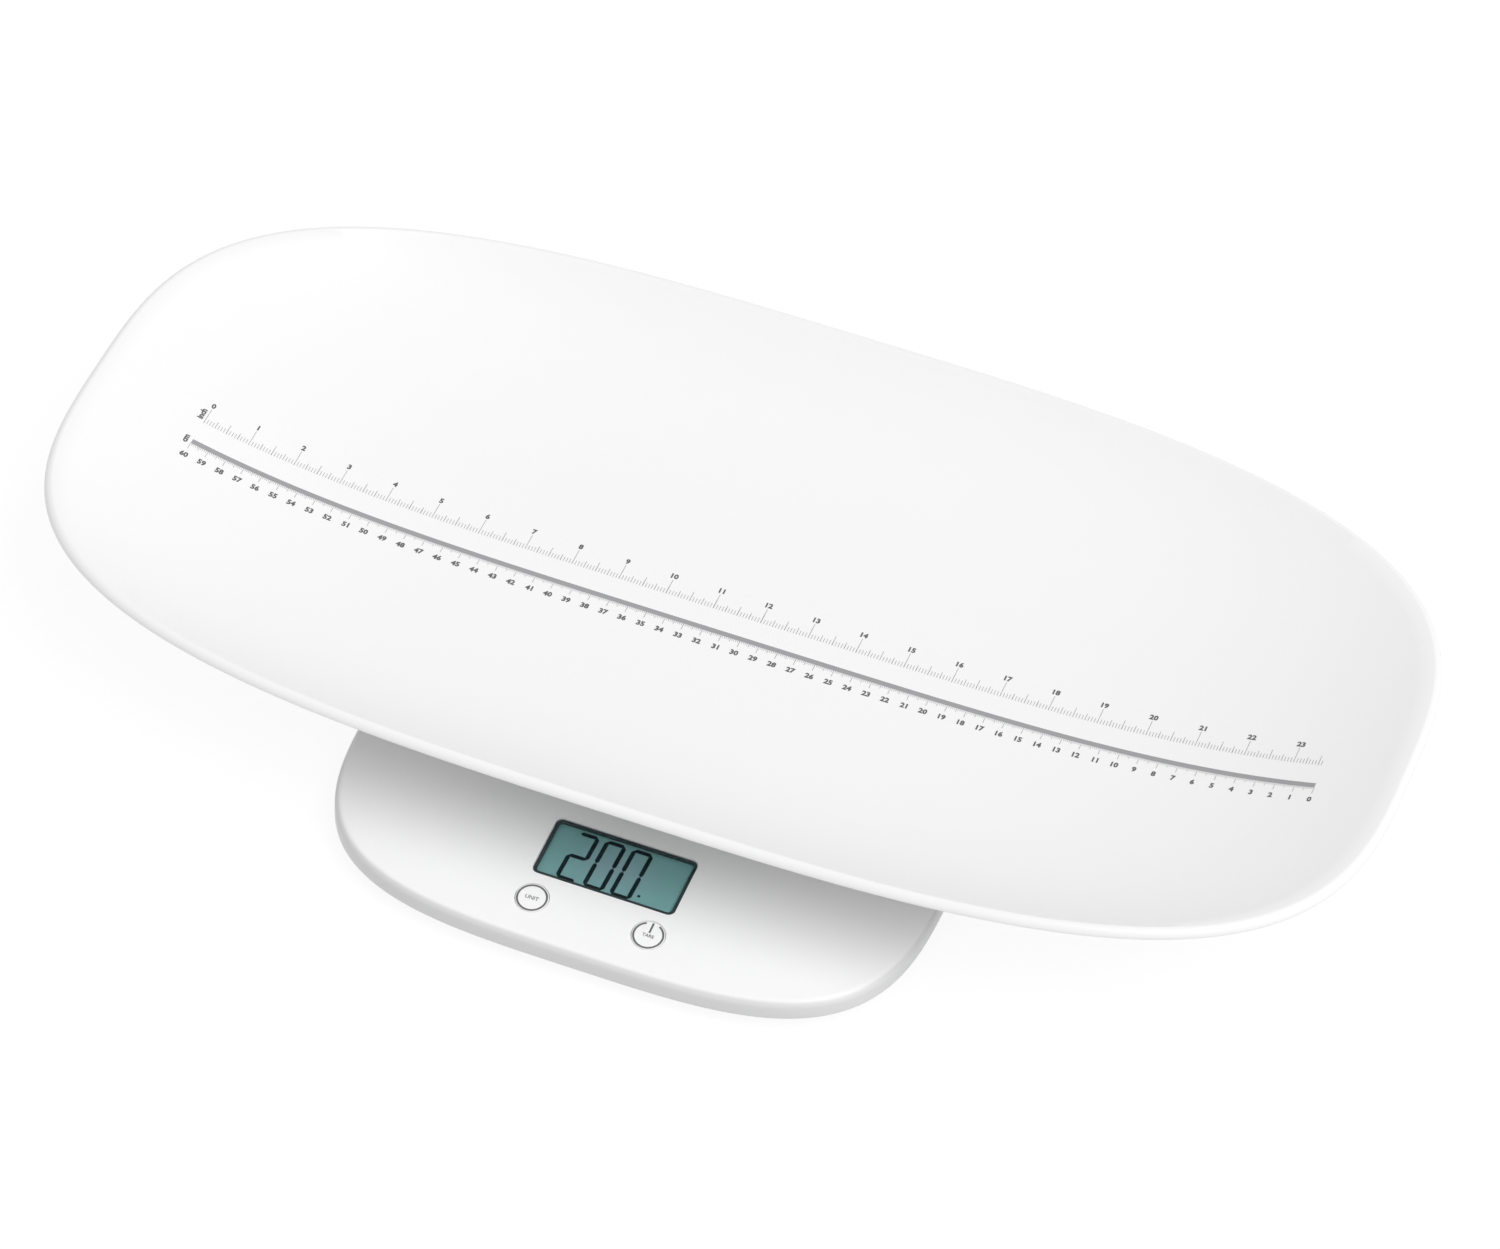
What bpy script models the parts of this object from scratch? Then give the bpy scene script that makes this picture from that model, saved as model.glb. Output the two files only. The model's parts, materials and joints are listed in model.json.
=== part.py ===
"""Digital baby weighing scale: a long dished tray on four seats over a flat base with a display.

+Z is up and the floor is at zero. X runs along the tray, and the display side faces -Y.
Places are given from the middle of the tray, under one empty that centres the whole on the origin.
"""

import math

import bmesh
import bpy
from mathutils import Matrix, Vector

MM = 0.001
HALF_TURN = math.pi
QUARTER_TURN = math.pi / 2

# Fits
GAP = 0.3 * MM
OVERRUN = 1.0 * MM
RING_SEGMENTS = 56

# Tray
TRAY_LENGTH = 700 * MM
TRAY_WIDTH = 360 * MM
TRAY_EXPONENT = 3.15
TRAY_RIM_HEIGHT = 87 * MM
TRAY_DISH_DEPTH = 37.5 * MM
TRAY_DISH_EXPONENT = 4.0
TRAY_WALL = 3.0 * MM
TRAY_RIM_RADIUS = 4.0 * MM
TRAY_LIP_DEPTH = 5.0 * MM
TRAY_RING_SHARES = (0.3, 0.5, 0.66, 0.79, 0.9, 1.0)

# Seats that carry the tray
SEAT_SPACING_X = 144 * MM
SEAT_SPACING_Y = 120 * MM
SEAT_HEIGHT = 28 * MM
SEAT_RADIUS = 16 * MM
PEG_RADIUS = 8 * MM
PEG_LENGTH = 12 * MM
PEG_CHAMFER = 2 * MM
PEG_WALL = 2.5 * MM
SEAT_SIDES = 16
PAD_THICKNESS = 2 * MM
PAD_RADIUS = 14 * MM
TRAY_BOSS_CLEARANCE = 0.5 * MM
TRAY_BOSS_WALL = 4 * MM

# Base covers
BASE_WIDTH = 307 * MM
BASE_FRONT_REACH = 217.4 * MM
BASE_END_DEPTH = 124 * MM
BASE_STRAIGHT = 100 * MM
BASE_EXPONENT = 3.46
COVER_WALL = 2.5 * MM
BASE_UNDERSIDE = 8 * MM
DECK_EDGE_HEIGHT = 20 * MM
DECK_RISE = 7 * MM
DECK_EXPONENT = 3.0
DECK_FILLET = 4 * MM
DECK_RING_SHARES = (0.3, 0.55, 0.75, 0.9, 1.0)
BOTTOM_RIM_DEPTH = 7 * MM
BOTTOM_CHAMFER = 2.0 * MM
ARC_STEPS = 3

# Screws
SCREW_HEAD_RADIUS = 3.0 * MM
SCREW_HEAD_HEIGHT = 2.0 * MM
SCREW_RADIUS = 1.4 * MM
SCREW_HEAD_CLEARANCE = 0.4 * MM
HOUSING_SCREW_LENGTH = 8 * MM
HOUSING_SCREW_SHARES = ((0.4, -0.89), (0.91, 0.0), (0.4, 0.89))
SCREW_CUP_RADIUS = 5 * MM
SCREW_CUP_SEAT = 2.0 * MM
POST_RADIUS = 4.5 * MM
POST_SIDES = 12
SCREW_SIDES = 12

# Feet and load cells
FOOT_INSET_X = 48.5 * MM
FOOT_INSET_Y = 66 * MM
FOOT_RADIUS = 17 * MM
FOOT_HOLE_CLEARANCE = 1.0 * MM
FOOT_LIFT = 1.2 * MM
FOOT_FLANGE_RADIUS = 19.5 * MM
FOOT_FLANGE_THICKNESS = 1.2 * MM
FOOT_FLANGE_CLEARANCE = 0.5 * MM
FOOT_SPIGOT_RADIUS = 5 * MM
FOOT_SPIGOT_HEIGHT = 0.5 * MM
FOOT_PAD_RADIUS = 14 * MM
FOOT_PAD_THICKNESS = 2.2 * MM
FOOT_SIDES = 24
LOAD_CELL_SIDE = 34 * MM
LOAD_CELL_THICKNESS = 1.2 * MM
LOAD_CELL_TONGUE = 13 * MM
LOAD_CELL_SLOT = 2 * MM
LOAD_CELL_FRAME = 5 * MM
BRACKET_WALL = 2.5 * MM
BRACKET_ROOF = 2.8 * MM
BRACKET_SKIRT_CLEARANCE = 1.0 * MM
BRACKET_HOLE_RADIUS = 9 * MM
BRACKET_EAR_LENGTH = 12 * MM
BRACKET_EAR_WIDTH = 12 * MM
BRACKET_EAR_THICKNESS = 2.5 * MM
BRACKET_EAR_HEIGHT = 14.3 * MM
BRACKET_BOSS_RADIUS = 4 * MM
BRACKET_PIN_RADIUS = 1.8 * MM
SEAT_RING_RADIUS = 13.5 * MM
SEAT_RING_WALL = 2 * MM

# Batteries
CELL_COUNT = 3
CELL_RADIUS = 5.25 * MM
CELL_LENGTH = 44.5 * MM
CELL_NUB_RADIUS = 1.9 * MM
CELL_NUB_LENGTH = 1.0 * MM
CELL_SPACE = 0.8 * MM
CELL_SIDES = 16
SPRING_LENGTH = 5 * MM
SPRING_RADIUS = 3.2 * MM
SPRING_WIRE_RADIUS = 0.35 * MM
SPRING_TURNS = 3
SPRING_POINTS_A_TURN = 10
CONTACT_THICKNESS = 0.5 * MM
CONTACT_SIDE = 9 * MM
WELL_BEHIND_FRONT = 155.4 * MM
WELL_WALL = 1.5 * MM
DOOR_THICKNESS = 2 * MM
DOOR_LEDGE = 1.8 * MM
DOOR_TAB_WIDTH = 8 * MM
DOOR_TAB_LENGTH = 1.5 * MM
DOOR_TAB_THICKNESS = 1.0 * MM
DOOR_TAB_SPACING = 32 * MM
DOOR_LATCH_WIDTH = 14 * MM
DOOR_LATCH_SLOT = 1.0 * MM
DOOR_LATCH_LENGTH = 8 * MM
DOOR_SCOOP_RADIUS = 8 * MM
DOOR_SCOOP_DEPTH = 1.2 * MM

# Control module, measured down from the deck along its own normal
LCD_BEHIND_FRONT = 56.3 * MM
LENS_LENGTH = 74.0 * MM
LENS_WIDTH = 36.2 * MM
LENS_CORNER = 3.4 * MM
LENS_THICKNESS = 0.8 * MM
LENS_RECESS = 0.15 * MM
WINDOW_LEDGE = 1.5 * MM
WINDOW_FRAME_DEPTH = 3.6 * MM
WINDOW_FRAME_MARGIN = 2.5 * MM
GLASS_LENGTH = 74 * MM
GLASS_WIDTH = 36 * MM
GLASS_DEPTH = 2.2 * MM
GLASS_THICKNESS = 3.9 * MM
LCD_FRAME_WALL = 2.5 * MM
LCD_FRAME_LEDGE = 5.5 * MM
LCD_FRAME_FLOOR = 1.6 * MM
ZEBRA_LENGTH = 60 * MM
ZEBRA_WIDTH = 2.4 * MM
BOARD_LENGTH = 84 * MM
BOARD_WIDTH = 73 * MM
BOARD_THICKNESS = 1.6 * MM
BOARD_FRONT_OVERHANG = 10 * MM
CHIP_SIDE = 10 * MM
CHIP_THICKNESS = 1.4 * MM
BOARD_POST_RADIUS = 3 * MM
BOARD_SCREW_LENGTH = 6 * MM
BOARD_POST_INSET = 5 * MM
FRONT_POST_SPACING = 24 * MM

# Buttons
BUTTON_SPACING = 60.6 * MM
BUTTON_BEFORE_LCD = 33.1 * MM
BUTTON_RADIUS = 8.3 * MM
BUTTON_PROUD = 0.1 * MM
BUTTON_FLANGE_WIDTH = 1.5 * MM
BUTTON_FLANGE_THICKNESS = 0.8 * MM
BUTTON_STEM_RADIUS = 2.5 * MM
BUTTON_STEM_LENGTH = 0.2 * MM
BUTTON_TRAVEL = 0.5 * MM
BUTTON_SIDES = 28
SWITCH_SIDE = 6.2 * MM
SWITCH_HEIGHT = 2.4 * MM
SWITCH_FLOOR = 0.5 * MM
PLUNGER_RADIUS = 1.7 * MM

# Leads, with routes along the floor of the base, in millimetres from its middle line and its front
LEAD_RADIUS = 1.1 * MM
LEAD_STEP = 10 * MM
FRONT_LEAD_ROUTE = ((80, 71.4), (66, 70.4), (54, 67.4), (45, 67.4), (37, 67.4))
REAR_LEAD_ROUTE = (
    (80, 275.4),
    (66, 267.4),
    (56, 243.4),
    (50, 207.4),
    (48, 167.4),
    (43, 125.4),
    (30, 91.4),
    (24, 77.4),
)
BATTERY_LEAD_ROUTE = ((14, 129.4), (13, 117.4), (10, 97.4), (8, 75.4))

# Worked out from the sizes above
TRAY_INNER_X = TRAY_LENGTH / 2 - TRAY_RIM_RADIUS
TRAY_INNER_Y = TRAY_WIDTH / 2 - TRAY_RIM_RADIUS
BASE_CENTRE_Y = BASE_END_DEPTH + BASE_STRAIGHT / 2 - BASE_FRONT_REACH
BASE_HALF_DEPTH = BASE_END_DEPTH + BASE_STRAIGHT / 2
FOOT_SPACING_X = BASE_WIDTH - 2 * FOOT_INSET_X
FOOT_SPACING_Y = 2 * (BASE_HALF_DEPTH - FOOT_INSET_Y)
CENTRING_SHIFT = (BASE_FRONT_REACH - TRAY_WIDTH / 2) / 2
BOTTOM_INSET = COVER_WALL + GAP
FLOOR_HEIGHT = BASE_UNDERSIDE + COVER_WALL
SCREW_HOLE_RADIUS = SCREW_RADIUS + GAP
CUP_SEAT_HEIGHT = BASE_UNDERSIDE + GAP + SCREW_HEAD_HEIGHT + GAP
CUP_TOP_HEIGHT = CUP_SEAT_HEIGHT + SCREW_CUP_SEAT
FLANGE_HEIGHT = FLOOR_HEIGHT + FOOT_FLANGE_CLEARANCE
SPIGOT_HEIGHT = FLANGE_HEIGHT + FOOT_FLANGE_THICKNESS
LOAD_CELL_HEIGHT = SPIGOT_HEIGHT + FOOT_SPIGOT_HEIGHT + GAP
BRACKET_HEIGHT = FLOOR_HEIGHT + GAP
BRACKET_POCKET_TOP = LOAD_CELL_HEIGHT + LOAD_CELL_THICKNESS + GAP
BRACKET_TOP = BRACKET_POCKET_TOP + BRACKET_ROOF
BRACKET_SKIRT_SIDE = 2 * (FOOT_FLANGE_RADIUS + BRACKET_SKIRT_CLEARANCE)
BRACKET_SIDE = BRACKET_SKIRT_SIDE + 2 * BRACKET_WALL
CELL_HEIGHT = BASE_UNDERSIDE + DOOR_THICKNESS + GAP + CELL_RADIUS
CELL_PITCH = 2 * CELL_RADIUS + CELL_SPACE
WELL_LENGTH = CELL_LENGTH + SPRING_LENGTH + 2 * CONTACT_THICKNESS + 5 * GAP
WELL_WIDTH = CELL_COUNT * CELL_PITCH
WELL_CENTRE_Y = WELL_BEHIND_FRONT - BASE_FRONT_REACH
WELL_CEILING = CELL_HEIGHT + CELL_RADIUS + GAP
DOOR_LENGTH = WELL_LENGTH + 2 * DOOR_LEDGE
DOOR_WIDTH = WELL_WIDTH + 2 * DOOR_LEDGE
DOOR_HINGE_Y = WELL_CENTRE_Y + DOOR_WIDTH / 2
LCD_CENTRE_Y = LCD_BEHIND_FRONT - BASE_FRONT_REACH
GLASS_TOP = -GLASS_DEPTH
LCD_FRAME_TOP = -WINDOW_FRAME_DEPTH - GAP
LCD_FRAME_SEAT = GLASS_TOP - GLASS_THICKNESS - GAP
LCD_FRAME_BOTTOM = LCD_FRAME_SEAT - LCD_FRAME_FLOOR
BOARD_TOP = LCD_FRAME_BOTTOM - GAP
BOARD_BOTTOM = BOARD_TOP - BOARD_THICKNESS
SWITCH_BOTTOM = BOARD_TOP + GAP
SWITCH_TOP = SWITCH_BOTTOM + SWITCH_HEIGHT
FLANGE_TOP = -WINDOW_FRAME_DEPTH - GAP
FLANGE_BOTTOM = FLANGE_TOP - BUTTON_FLANGE_THICKNESS
STEM_BOTTOM = FLANGE_BOTTOM - BUTTON_STEM_LENGTH
PLUNGER_TOP = STEM_BOTTOM - GAP
BOARD_FRONT = -BUTTON_BEFORE_LCD - BOARD_FRONT_OVERHANG


def clear_scene():
    """Remove what the file holds and make the two collections."""
    for obj in list(bpy.data.objects):
        bpy.data.objects.remove(obj)
    for name in ("baby_weighing_scale", "cutters"):
        bpy.context.scene.collection.children.link(bpy.data.collections.new(name))


def material(name, colour, roughness, metallic=0.0):
    made = bpy.data.materials.new(name)
    made.use_nodes = True
    shader = made.node_tree.nodes["Principled BSDF"]
    shader.inputs["Base Color"].default_value = (*colour, 1)
    shader.inputs["Roughness"].default_value = roughness
    shader.inputs["Metallic"].default_value = metallic
    return made


def white_plastic(name):
    return material(name, (0.85, 0.86, 0.87), 0.35)


def empty(name, parent, location, tilt=0.0):
    made = bpy.data.objects.new(name, None)
    made.location = location
    made.rotation_euler.x = tilt
    made.parent = parent
    bpy.data.collections["baby_weighing_scale"].objects.link(made)
    return made


def part(name, mesh, look, parent, location=(0, 0, 0)):
    """Turn a bmesh into a named object with its material."""
    data = bpy.data.meshes.new(name)
    bmesh.ops.recalc_face_normals(mesh, faces=mesh.faces)
    mesh.to_mesh(data)
    mesh.free()
    data.shade_smooth()
    data.set_sharp_from_angle(angle=HALF_TURN / 6)
    data.materials.append(look)
    made = bpy.data.objects.new(name, data)
    made.parent = parent
    made.location = location
    bpy.data.collections["baby_weighing_scale"].objects.link(made)
    return made


def boolean(target, operation, mesh, parent):
    """Join a bmesh to a part, or cut it away, with a hidden object of its own."""
    data = bpy.data.meshes.new(f"{target.name}_{operation.lower()}")
    bmesh.ops.recalc_face_normals(mesh, faces=mesh.faces)
    mesh.to_mesh(data)
    mesh.free()
    cutter = bpy.data.objects.new(data.name, data)
    cutter.parent = parent
    cutter.hide_render = True
    cutter.display_type = "WIRE"
    bpy.data.collections["cutters"].objects.link(cutter)
    step = target.modifiers.new(cutter.name, "BOOLEAN")
    step.operation = operation
    step.solver = "EXACT"
    step.object = cutter


def box(mesh, size, low, high, place=(0.0, 0.0), corner=0.0):
    """Add a box with its ends at two heights, its upright edges rounded by a corner radius."""
    centre = Matrix.Translation((place[0], place[1], (low + high) / 2))
    scale = Matrix.Diagonal((size[0], size[1], high - low, 1))
    made = bmesh.ops.create_cube(mesh, size=1, matrix=centre @ scale)
    if corner:
        upright = {
            edge
            for vert in made["verts"]
            for edge in vert.link_edges
            if abs(edge.verts[0].co.z - edge.verts[1].co.z) > (high - low) / 2
        }
        bmesh.ops.bevel(
            mesh, geom=list(upright), offset=corner, segments=ARC_STEPS, profile=0.5, affect="EDGES"
        )


def turned(mesh, profile, steps, place=(0.0, 0.0), frame=None, ring=False):
    """Add a solid of revolution about an upright line from (radius, height) points.

    Its two ends are flat, or with ring the profile is closed and goes round a bore.
    """
    frame = frame or Matrix()
    verts = [mesh.verts.new(frame @ Vector((place[0] + r, place[1], z))) for r, z in profile]
    edges = [mesh.edges.new(pair) for pair in zip(verts, verts[1:])]
    if ring:
        edges.append(mesh.edges.new((verts[-1], verts[0])))
    bmesh.ops.spin(
        mesh,
        geom=verts + edges,
        cent=frame @ Vector((*place, 0)),
        axis=frame.to_3x3() @ Vector((0, 0, 1)),
        angle=2 * HALF_TURN,
        steps=steps,
        use_merge=True,
    )
    bmesh.ops.remove_doubles(mesh, verts=mesh.verts, dist=GAP / 100)
    bmesh.ops.holes_fill(mesh, edges=[edge for edge in mesh.edges if edge.is_boundary])


def rod(mesh, radius, low, high, steps, place=(0.0, 0.0), frame=None):
    turned(mesh, ((radius, low), (radius, high)), steps, place, frame)


def tube(mesh, inner, outer, low, high, steps, place=(0.0, 0.0)):
    turned(mesh, ((inner, low), (outer, low), (outer, high), (inner, high)), steps, place, ring=True)


def ringed_surface(rings, exponent, straight=0.0):
    """Open surface through superellipse rings of (half X, half Y, height), the first one filled.

    It is made as flat circles, one unit apart, and then set out to the rings.
    """
    mesh = bmesh.new()
    start = Matrix.Rotation(HALF_TURN / RING_SEGMENTS, 4, "Z")
    bmesh.ops.create_circle(mesh, cap_ends=True, radius=1, segments=RING_SEGMENTS, matrix=start)
    for count in range(1, len(rings)):
        edges = [edge for edge in mesh.edges if edge.is_boundary]
        made = bmesh.ops.extrude_edge_only(mesh, edges=edges)["geom"]
        for vert in made:
            if isinstance(vert, bmesh.types.BMVert):
                vert.co *= (count + 1) / count
    for vert in mesh.verts:
        half_x, half_y, height = rings[round(vert.co.length) - 1]
        cos, sin = vert.co.normalized().xy
        reach = (abs(cos) ** exponent + abs(sin) ** exponent) ** (-1 / exponent)
        apart = math.copysign(straight / 2, sin)
        vert.co = (half_x * reach * cos, half_y * reach * sin + apart, height)
    return mesh


def shell(name, rings, exponent, wall, facing, look, parent, location=(0, 0, 0), straight=0.0):
    """A cover of one wall thickness, grown inwards from the side that faces up (1) or down (-1)."""
    made = part(name, ringed_surface(rings, exponent, straight), look, parent, location)
    level = max(made.data.polygons, key=lambda face: len(face.vertices))
    if level.normal.z * facing < 0:
        made.data.flip_normals()
    solid = made.modifiers.new("wall", "SOLIDIFY")
    solid.thickness = wall
    solid.offset = -1
    solid.use_even_offset = True
    return made


def superellipse_share(x, y, half_x, half_y, exponent):
    """How far out a point lies, from 0 in the middle to 1 on the superellipse."""
    return (abs(x / half_x) ** exponent + abs(y / half_y) ** exponent) ** (1 / exponent)


def dish_height(x, y):
    """Height of the tray's upper surface."""
    share = superellipse_share(x, y, TRAY_INNER_X, TRAY_INNER_Y, TRAY_EXPONENT)
    return TRAY_RIM_HEIGHT - TRAY_DISH_DEPTH * (1 - share**TRAY_DISH_EXPONENT)


def deck_height(x, y):
    """Height of the base's upper surface, inside its fillet."""
    past_straight = max(abs(y - BASE_CENTRE_Y) - BASE_STRAIGHT / 2, 0)
    share = superellipse_share(
        x, past_straight, BASE_WIDTH / 2 - DECK_FILLET, BASE_END_DEPTH - DECK_FILLET, BASE_EXPONENT
    )
    return DECK_EDGE_HEIGHT + DECK_RISE * (1 - share**DECK_EXPONENT)


def deck_slope(y):
    """Tilt of the deck on the middle line, positive where it falls towards the front."""
    return math.atan2(deck_height(0, y + GAP) - deck_height(0, y - GAP), 2 * GAP)


LCD_HEIGHT = deck_height(0, LCD_CENTRE_Y)
LCD_TILT = deck_slope(LCD_CENTRE_Y)
MODULE_FRAME = Matrix.Translation((0, LCD_CENTRE_Y, LCD_HEIGHT)) @ Matrix.Rotation(LCD_TILT, 4, "X")


def deck_in_module(x, y):
    """Height of the deck over a place of the control module, in the module's own frame."""
    height = 0.0
    for _ in range(ARC_STEPS):
        point = MODULE_FRAME @ Vector((x, y, height))
        height += deck_height(point.x, point.y) - point.z
    return height


def quarters(spacing_x, spacing_y, centre_y=0.0):
    """Four places, with the name of each."""
    for side_name, side in (("left", -1), ("right", 1)):
        for end_name, end in (("front", -1), ("rear", 1)):
            yield f"{end_name}_{side_name}", side * spacing_x / 2, centre_y + end * spacing_y / 2


def foot_places():
    return list(quarters(FOOT_SPACING_X, FOOT_SPACING_Y, BASE_CENTRE_Y))


def seat_places():
    return list(quarters(SEAT_SPACING_X, SEAT_SPACING_Y))


def housing_screw_places():
    for share_x, share_y in HOUSING_SCREW_SHARES:
        for side in (-1, 1):
            x = side * share_x * BASE_WIDTH / 2
            yield x, BASE_CENTRE_Y + share_y * BASE_HALF_DEPTH


def bracket_pin_places():
    reach = BRACKET_SIDE / 2 + BRACKET_EAR_LENGTH / 2
    for _, x, y in foot_places():
        for end in (-1, 1):
            yield x, y + end * reach


def board_screw_places():
    """Two places in the control module, behind the display."""
    rear = BOARD_FRONT + BOARD_WIDTH - BOARD_POST_INSET
    reach = BOARD_LENGTH / 2 - BOARD_POST_INSET
    return [(-reach, rear), (reach, rear)]


def board_pin_places():
    """Two places in the control module, between the buttons."""
    front = BOARD_FRONT + BOARD_POST_INSET
    return [(-FRONT_POST_SPACING / 2, front), (FRONT_POST_SPACING / 2, front)]


def button_places():
    for name, side in (("unit", -1), ("power", 1)):
        yield name, side * BUTTON_SPACING / 2, -BUTTON_BEFORE_LCD


def cell_places():
    """Place and direction of each battery, every other one turned round."""
    for count in range(CELL_COUNT):
        across = WELL_CENTRE_Y + (count - (CELL_COUNT - 1) / 2) * CELL_PITCH
        yield across, 1 if count % 2 else -1


def rim_arc(radius, inset_x, inset_y, top):
    """Rings of a quarter round from a level top to an upright side."""
    rings = []
    for count in range(1, ARC_STEPS + 1):
        angle = QUARTER_TURN * count / ARC_STEPS
        out = radius * math.sin(angle)
        rings.append((inset_x + out, inset_y + out, top - radius * (1 - math.cos(angle))))
    return rings


def make_tray(parent):
    rings = [
        (
            share * TRAY_INNER_X,
            share * TRAY_INNER_Y,
            TRAY_RIM_HEIGHT - TRAY_DISH_DEPTH * (1 - share**TRAY_DISH_EXPONENT),
        )
        for share in TRAY_RING_SHARES
    ]
    rings += rim_arc(TRAY_RIM_RADIUS, TRAY_INNER_X, TRAY_INNER_Y, TRAY_RIM_HEIGHT)
    rings.append((TRAY_LENGTH / 2, TRAY_WIDTH / 2, TRAY_RIM_HEIGHT - TRAY_LIP_DEPTH))
    look = white_plastic("tray_plastic")
    tray = shell("tray_shell", rings, TRAY_EXPONENT, TRAY_WALL, 1, look, parent)
    bosses = bmesh.new()
    inner = PEG_RADIUS + TRAY_BOSS_CLEARANCE
    outer = inner + TRAY_BOSS_WALL
    low = SEAT_HEIGHT + GAP + PAD_THICKNESS + GAP
    for _, x, y in seat_places():
        high = dish_height(x, y) - TRAY_WALL / 2
        tube(bosses, inner, outer, low, high, SEAT_SIDES, (x, y))
    boolean(tray, "UNION", bosses, parent)


def make_seat_pads(parent):
    """Silicone rings that the tray's bosses press on."""
    for name, x, y in seat_places():
        mesh = bmesh.new()
        low = SEAT_HEIGHT + GAP
        tube(mesh, PEG_RADIUS + GAP, PAD_RADIUS, low, low + PAD_THICKNESS, SEAT_SIDES)
        look = material(f"seat_silicone_{name}", (0.7, 0.71, 0.72), 0.6)
        part(f"tray_seat_pad_{name}", mesh, look, parent, (x, y, 0))


def make_top_cover(parent, module):
    inner_x = BASE_WIDTH / 2 - DECK_FILLET
    inner_y = BASE_END_DEPTH - DECK_FILLET
    rings = [
        (
            share * inner_x,
            share * inner_y,
            DECK_EDGE_HEIGHT + DECK_RISE * (1 - share**DECK_EXPONENT),
        )
        for share in DECK_RING_SHARES
    ]
    rings += rim_arc(DECK_FILLET, inner_x, inner_y, DECK_EDGE_HEIGHT)
    rings.append((BASE_WIDTH / 2, BASE_END_DEPTH, BASE_UNDERSIDE))
    cover = shell(
        "base_top_cover",
        rings,
        BASE_EXPONENT,
        COVER_WALL,
        1,
        white_plastic("top_cover_plastic"),
        parent,
        location=(0, BASE_CENTRE_Y, 0),
        straight=BASE_STRAIGHT,
    )
    boolean(cover, "UNION", top_cover_seats(), parent)
    boolean(cover, "UNION", top_cover_posts(), parent)
    boolean(cover, "UNION", window_frame_block(), module)
    boolean(cover, "DIFFERENCE", top_cover_bores(), parent)
    boolean(cover, "DIFFERENCE", board_post_bores(), module)
    boolean(cover, "DIFFERENCE", window_recess(), module)
    boolean(cover, "DIFFERENCE", window_opening(), module)
    boolean(cover, "DIFFERENCE", glass_pocket(), module)
    boolean(cover, "DIFFERENCE", button_openings(), module)


def top_cover_seats():
    """Four round platforms with a peg on each, grown out of the deck."""
    mesh = bmesh.new()
    for _, x, y in seat_places():
        top = SEAT_HEIGHT + PEG_LENGTH
        profile = (
            (SEAT_RADIUS, deck_height(x, y) - COVER_WALL / 2),
            (SEAT_RADIUS, SEAT_HEIGHT),
            (PEG_RADIUS, SEAT_HEIGHT),
            (PEG_RADIUS, top - PEG_CHAMFER),
            (PEG_RADIUS - PEG_CHAMFER, top),
        )
        turned(mesh, profile, SEAT_SIDES, (x, y))
    return mesh


def top_cover_posts():
    """Screw posts, rings that press on the load cell brackets, and posts for the board."""
    mesh = bmesh.new()
    for x, y in housing_screw_places():
        high = deck_height(x, y) - COVER_WALL / 2
        rod(mesh, POST_RADIUS, CUP_TOP_HEIGHT + GAP, high, POST_SIDES, (x, y))
    for _, x, y in foot_places():
        low = BRACKET_TOP + GAP
        high = deck_height(x, y) - COVER_WALL / 2
        inner = SEAT_RING_RADIUS - SEAT_RING_WALL
        tube(mesh, inner, SEAT_RING_RADIUS, low, high, POST_SIDES, (x, y))
    for x, y in board_screw_places():
        high = deck_in_module(x, y) - COVER_WALL / 2
        rod(mesh, BOARD_POST_RADIUS, BOARD_TOP + GAP, high, SCREW_SIDES, (x, y), MODULE_FRAME)
    for x, y in board_pin_places():
        profile = (
            (SCREW_RADIUS, BOARD_BOTTOM),
            (SCREW_RADIUS, BOARD_TOP + GAP),
            (BOARD_POST_RADIUS, BOARD_TOP + GAP),
            (BOARD_POST_RADIUS, deck_in_module(x, y) - COVER_WALL / 2),
        )
        turned(mesh, profile, SCREW_SIDES, (x, y), MODULE_FRAME)
    return mesh


def top_cover_bores():
    """Pilot bores for the housing screws and hollows inside the seat pegs."""
    mesh = bmesh.new()
    for x, y in housing_screw_places():
        low = CUP_TOP_HEIGHT + GAP
        high = CUP_SEAT_HEIGHT + HOUSING_SCREW_LENGTH
        rod(mesh, SCREW_HOLE_RADIUS, low - OVERRUN, high, SCREW_SIDES, (x, y))
    for _, x, y in seat_places():
        low = deck_height(x, y) - COVER_WALL - OVERRUN
        high = SEAT_HEIGHT + PEG_LENGTH - PEG_WALL
        rod(mesh, PEG_RADIUS - PEG_WALL, low, high, POST_SIDES, (x, y))
    return mesh


def board_post_bores():
    mesh = bmesh.new()
    for x, y in board_screw_places():
        high = BOARD_BOTTOM + BOARD_SCREW_LENGTH
        rod(mesh, SCREW_HOLE_RADIUS, BOARD_TOP + GAP - OVERRUN, high, SCREW_SIDES, (x, y))
    return mesh


def window_size(grow):
    """Outline of the display window, grown or shrunk on each side."""
    return LENS_LENGTH + 2 * grow, LENS_WIDTH + 2 * grow


def window_frame_block():
    mesh = bmesh.new()
    box(mesh, window_size(WINDOW_FRAME_MARGIN), -WINDOW_FRAME_DEPTH, -COVER_WALL / 2)
    return mesh


def window_recess():
    """Room for the lens, down to the ledge that it lies on."""
    mesh = bmesh.new()
    low = -LENS_RECESS - LENS_THICKNESS - GAP
    box(mesh, window_size(GAP), low, OVERRUN, corner=LENS_CORNER)
    return mesh


def window_opening():
    mesh = bmesh.new()
    box(mesh, window_size(-WINDOW_LEDGE), -WINDOW_FRAME_DEPTH - OVERRUN, OVERRUN)
    return mesh


def glass_pocket():
    """Room for the display's glass behind the lens's ledge."""
    mesh = bmesh.new()
    size = (GLASS_LENGTH + 2 * GAP, GLASS_WIDTH + 2 * GAP)
    box(mesh, size, -WINDOW_FRAME_DEPTH - OVERRUN, GLASS_TOP + GAP)
    return mesh


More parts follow.
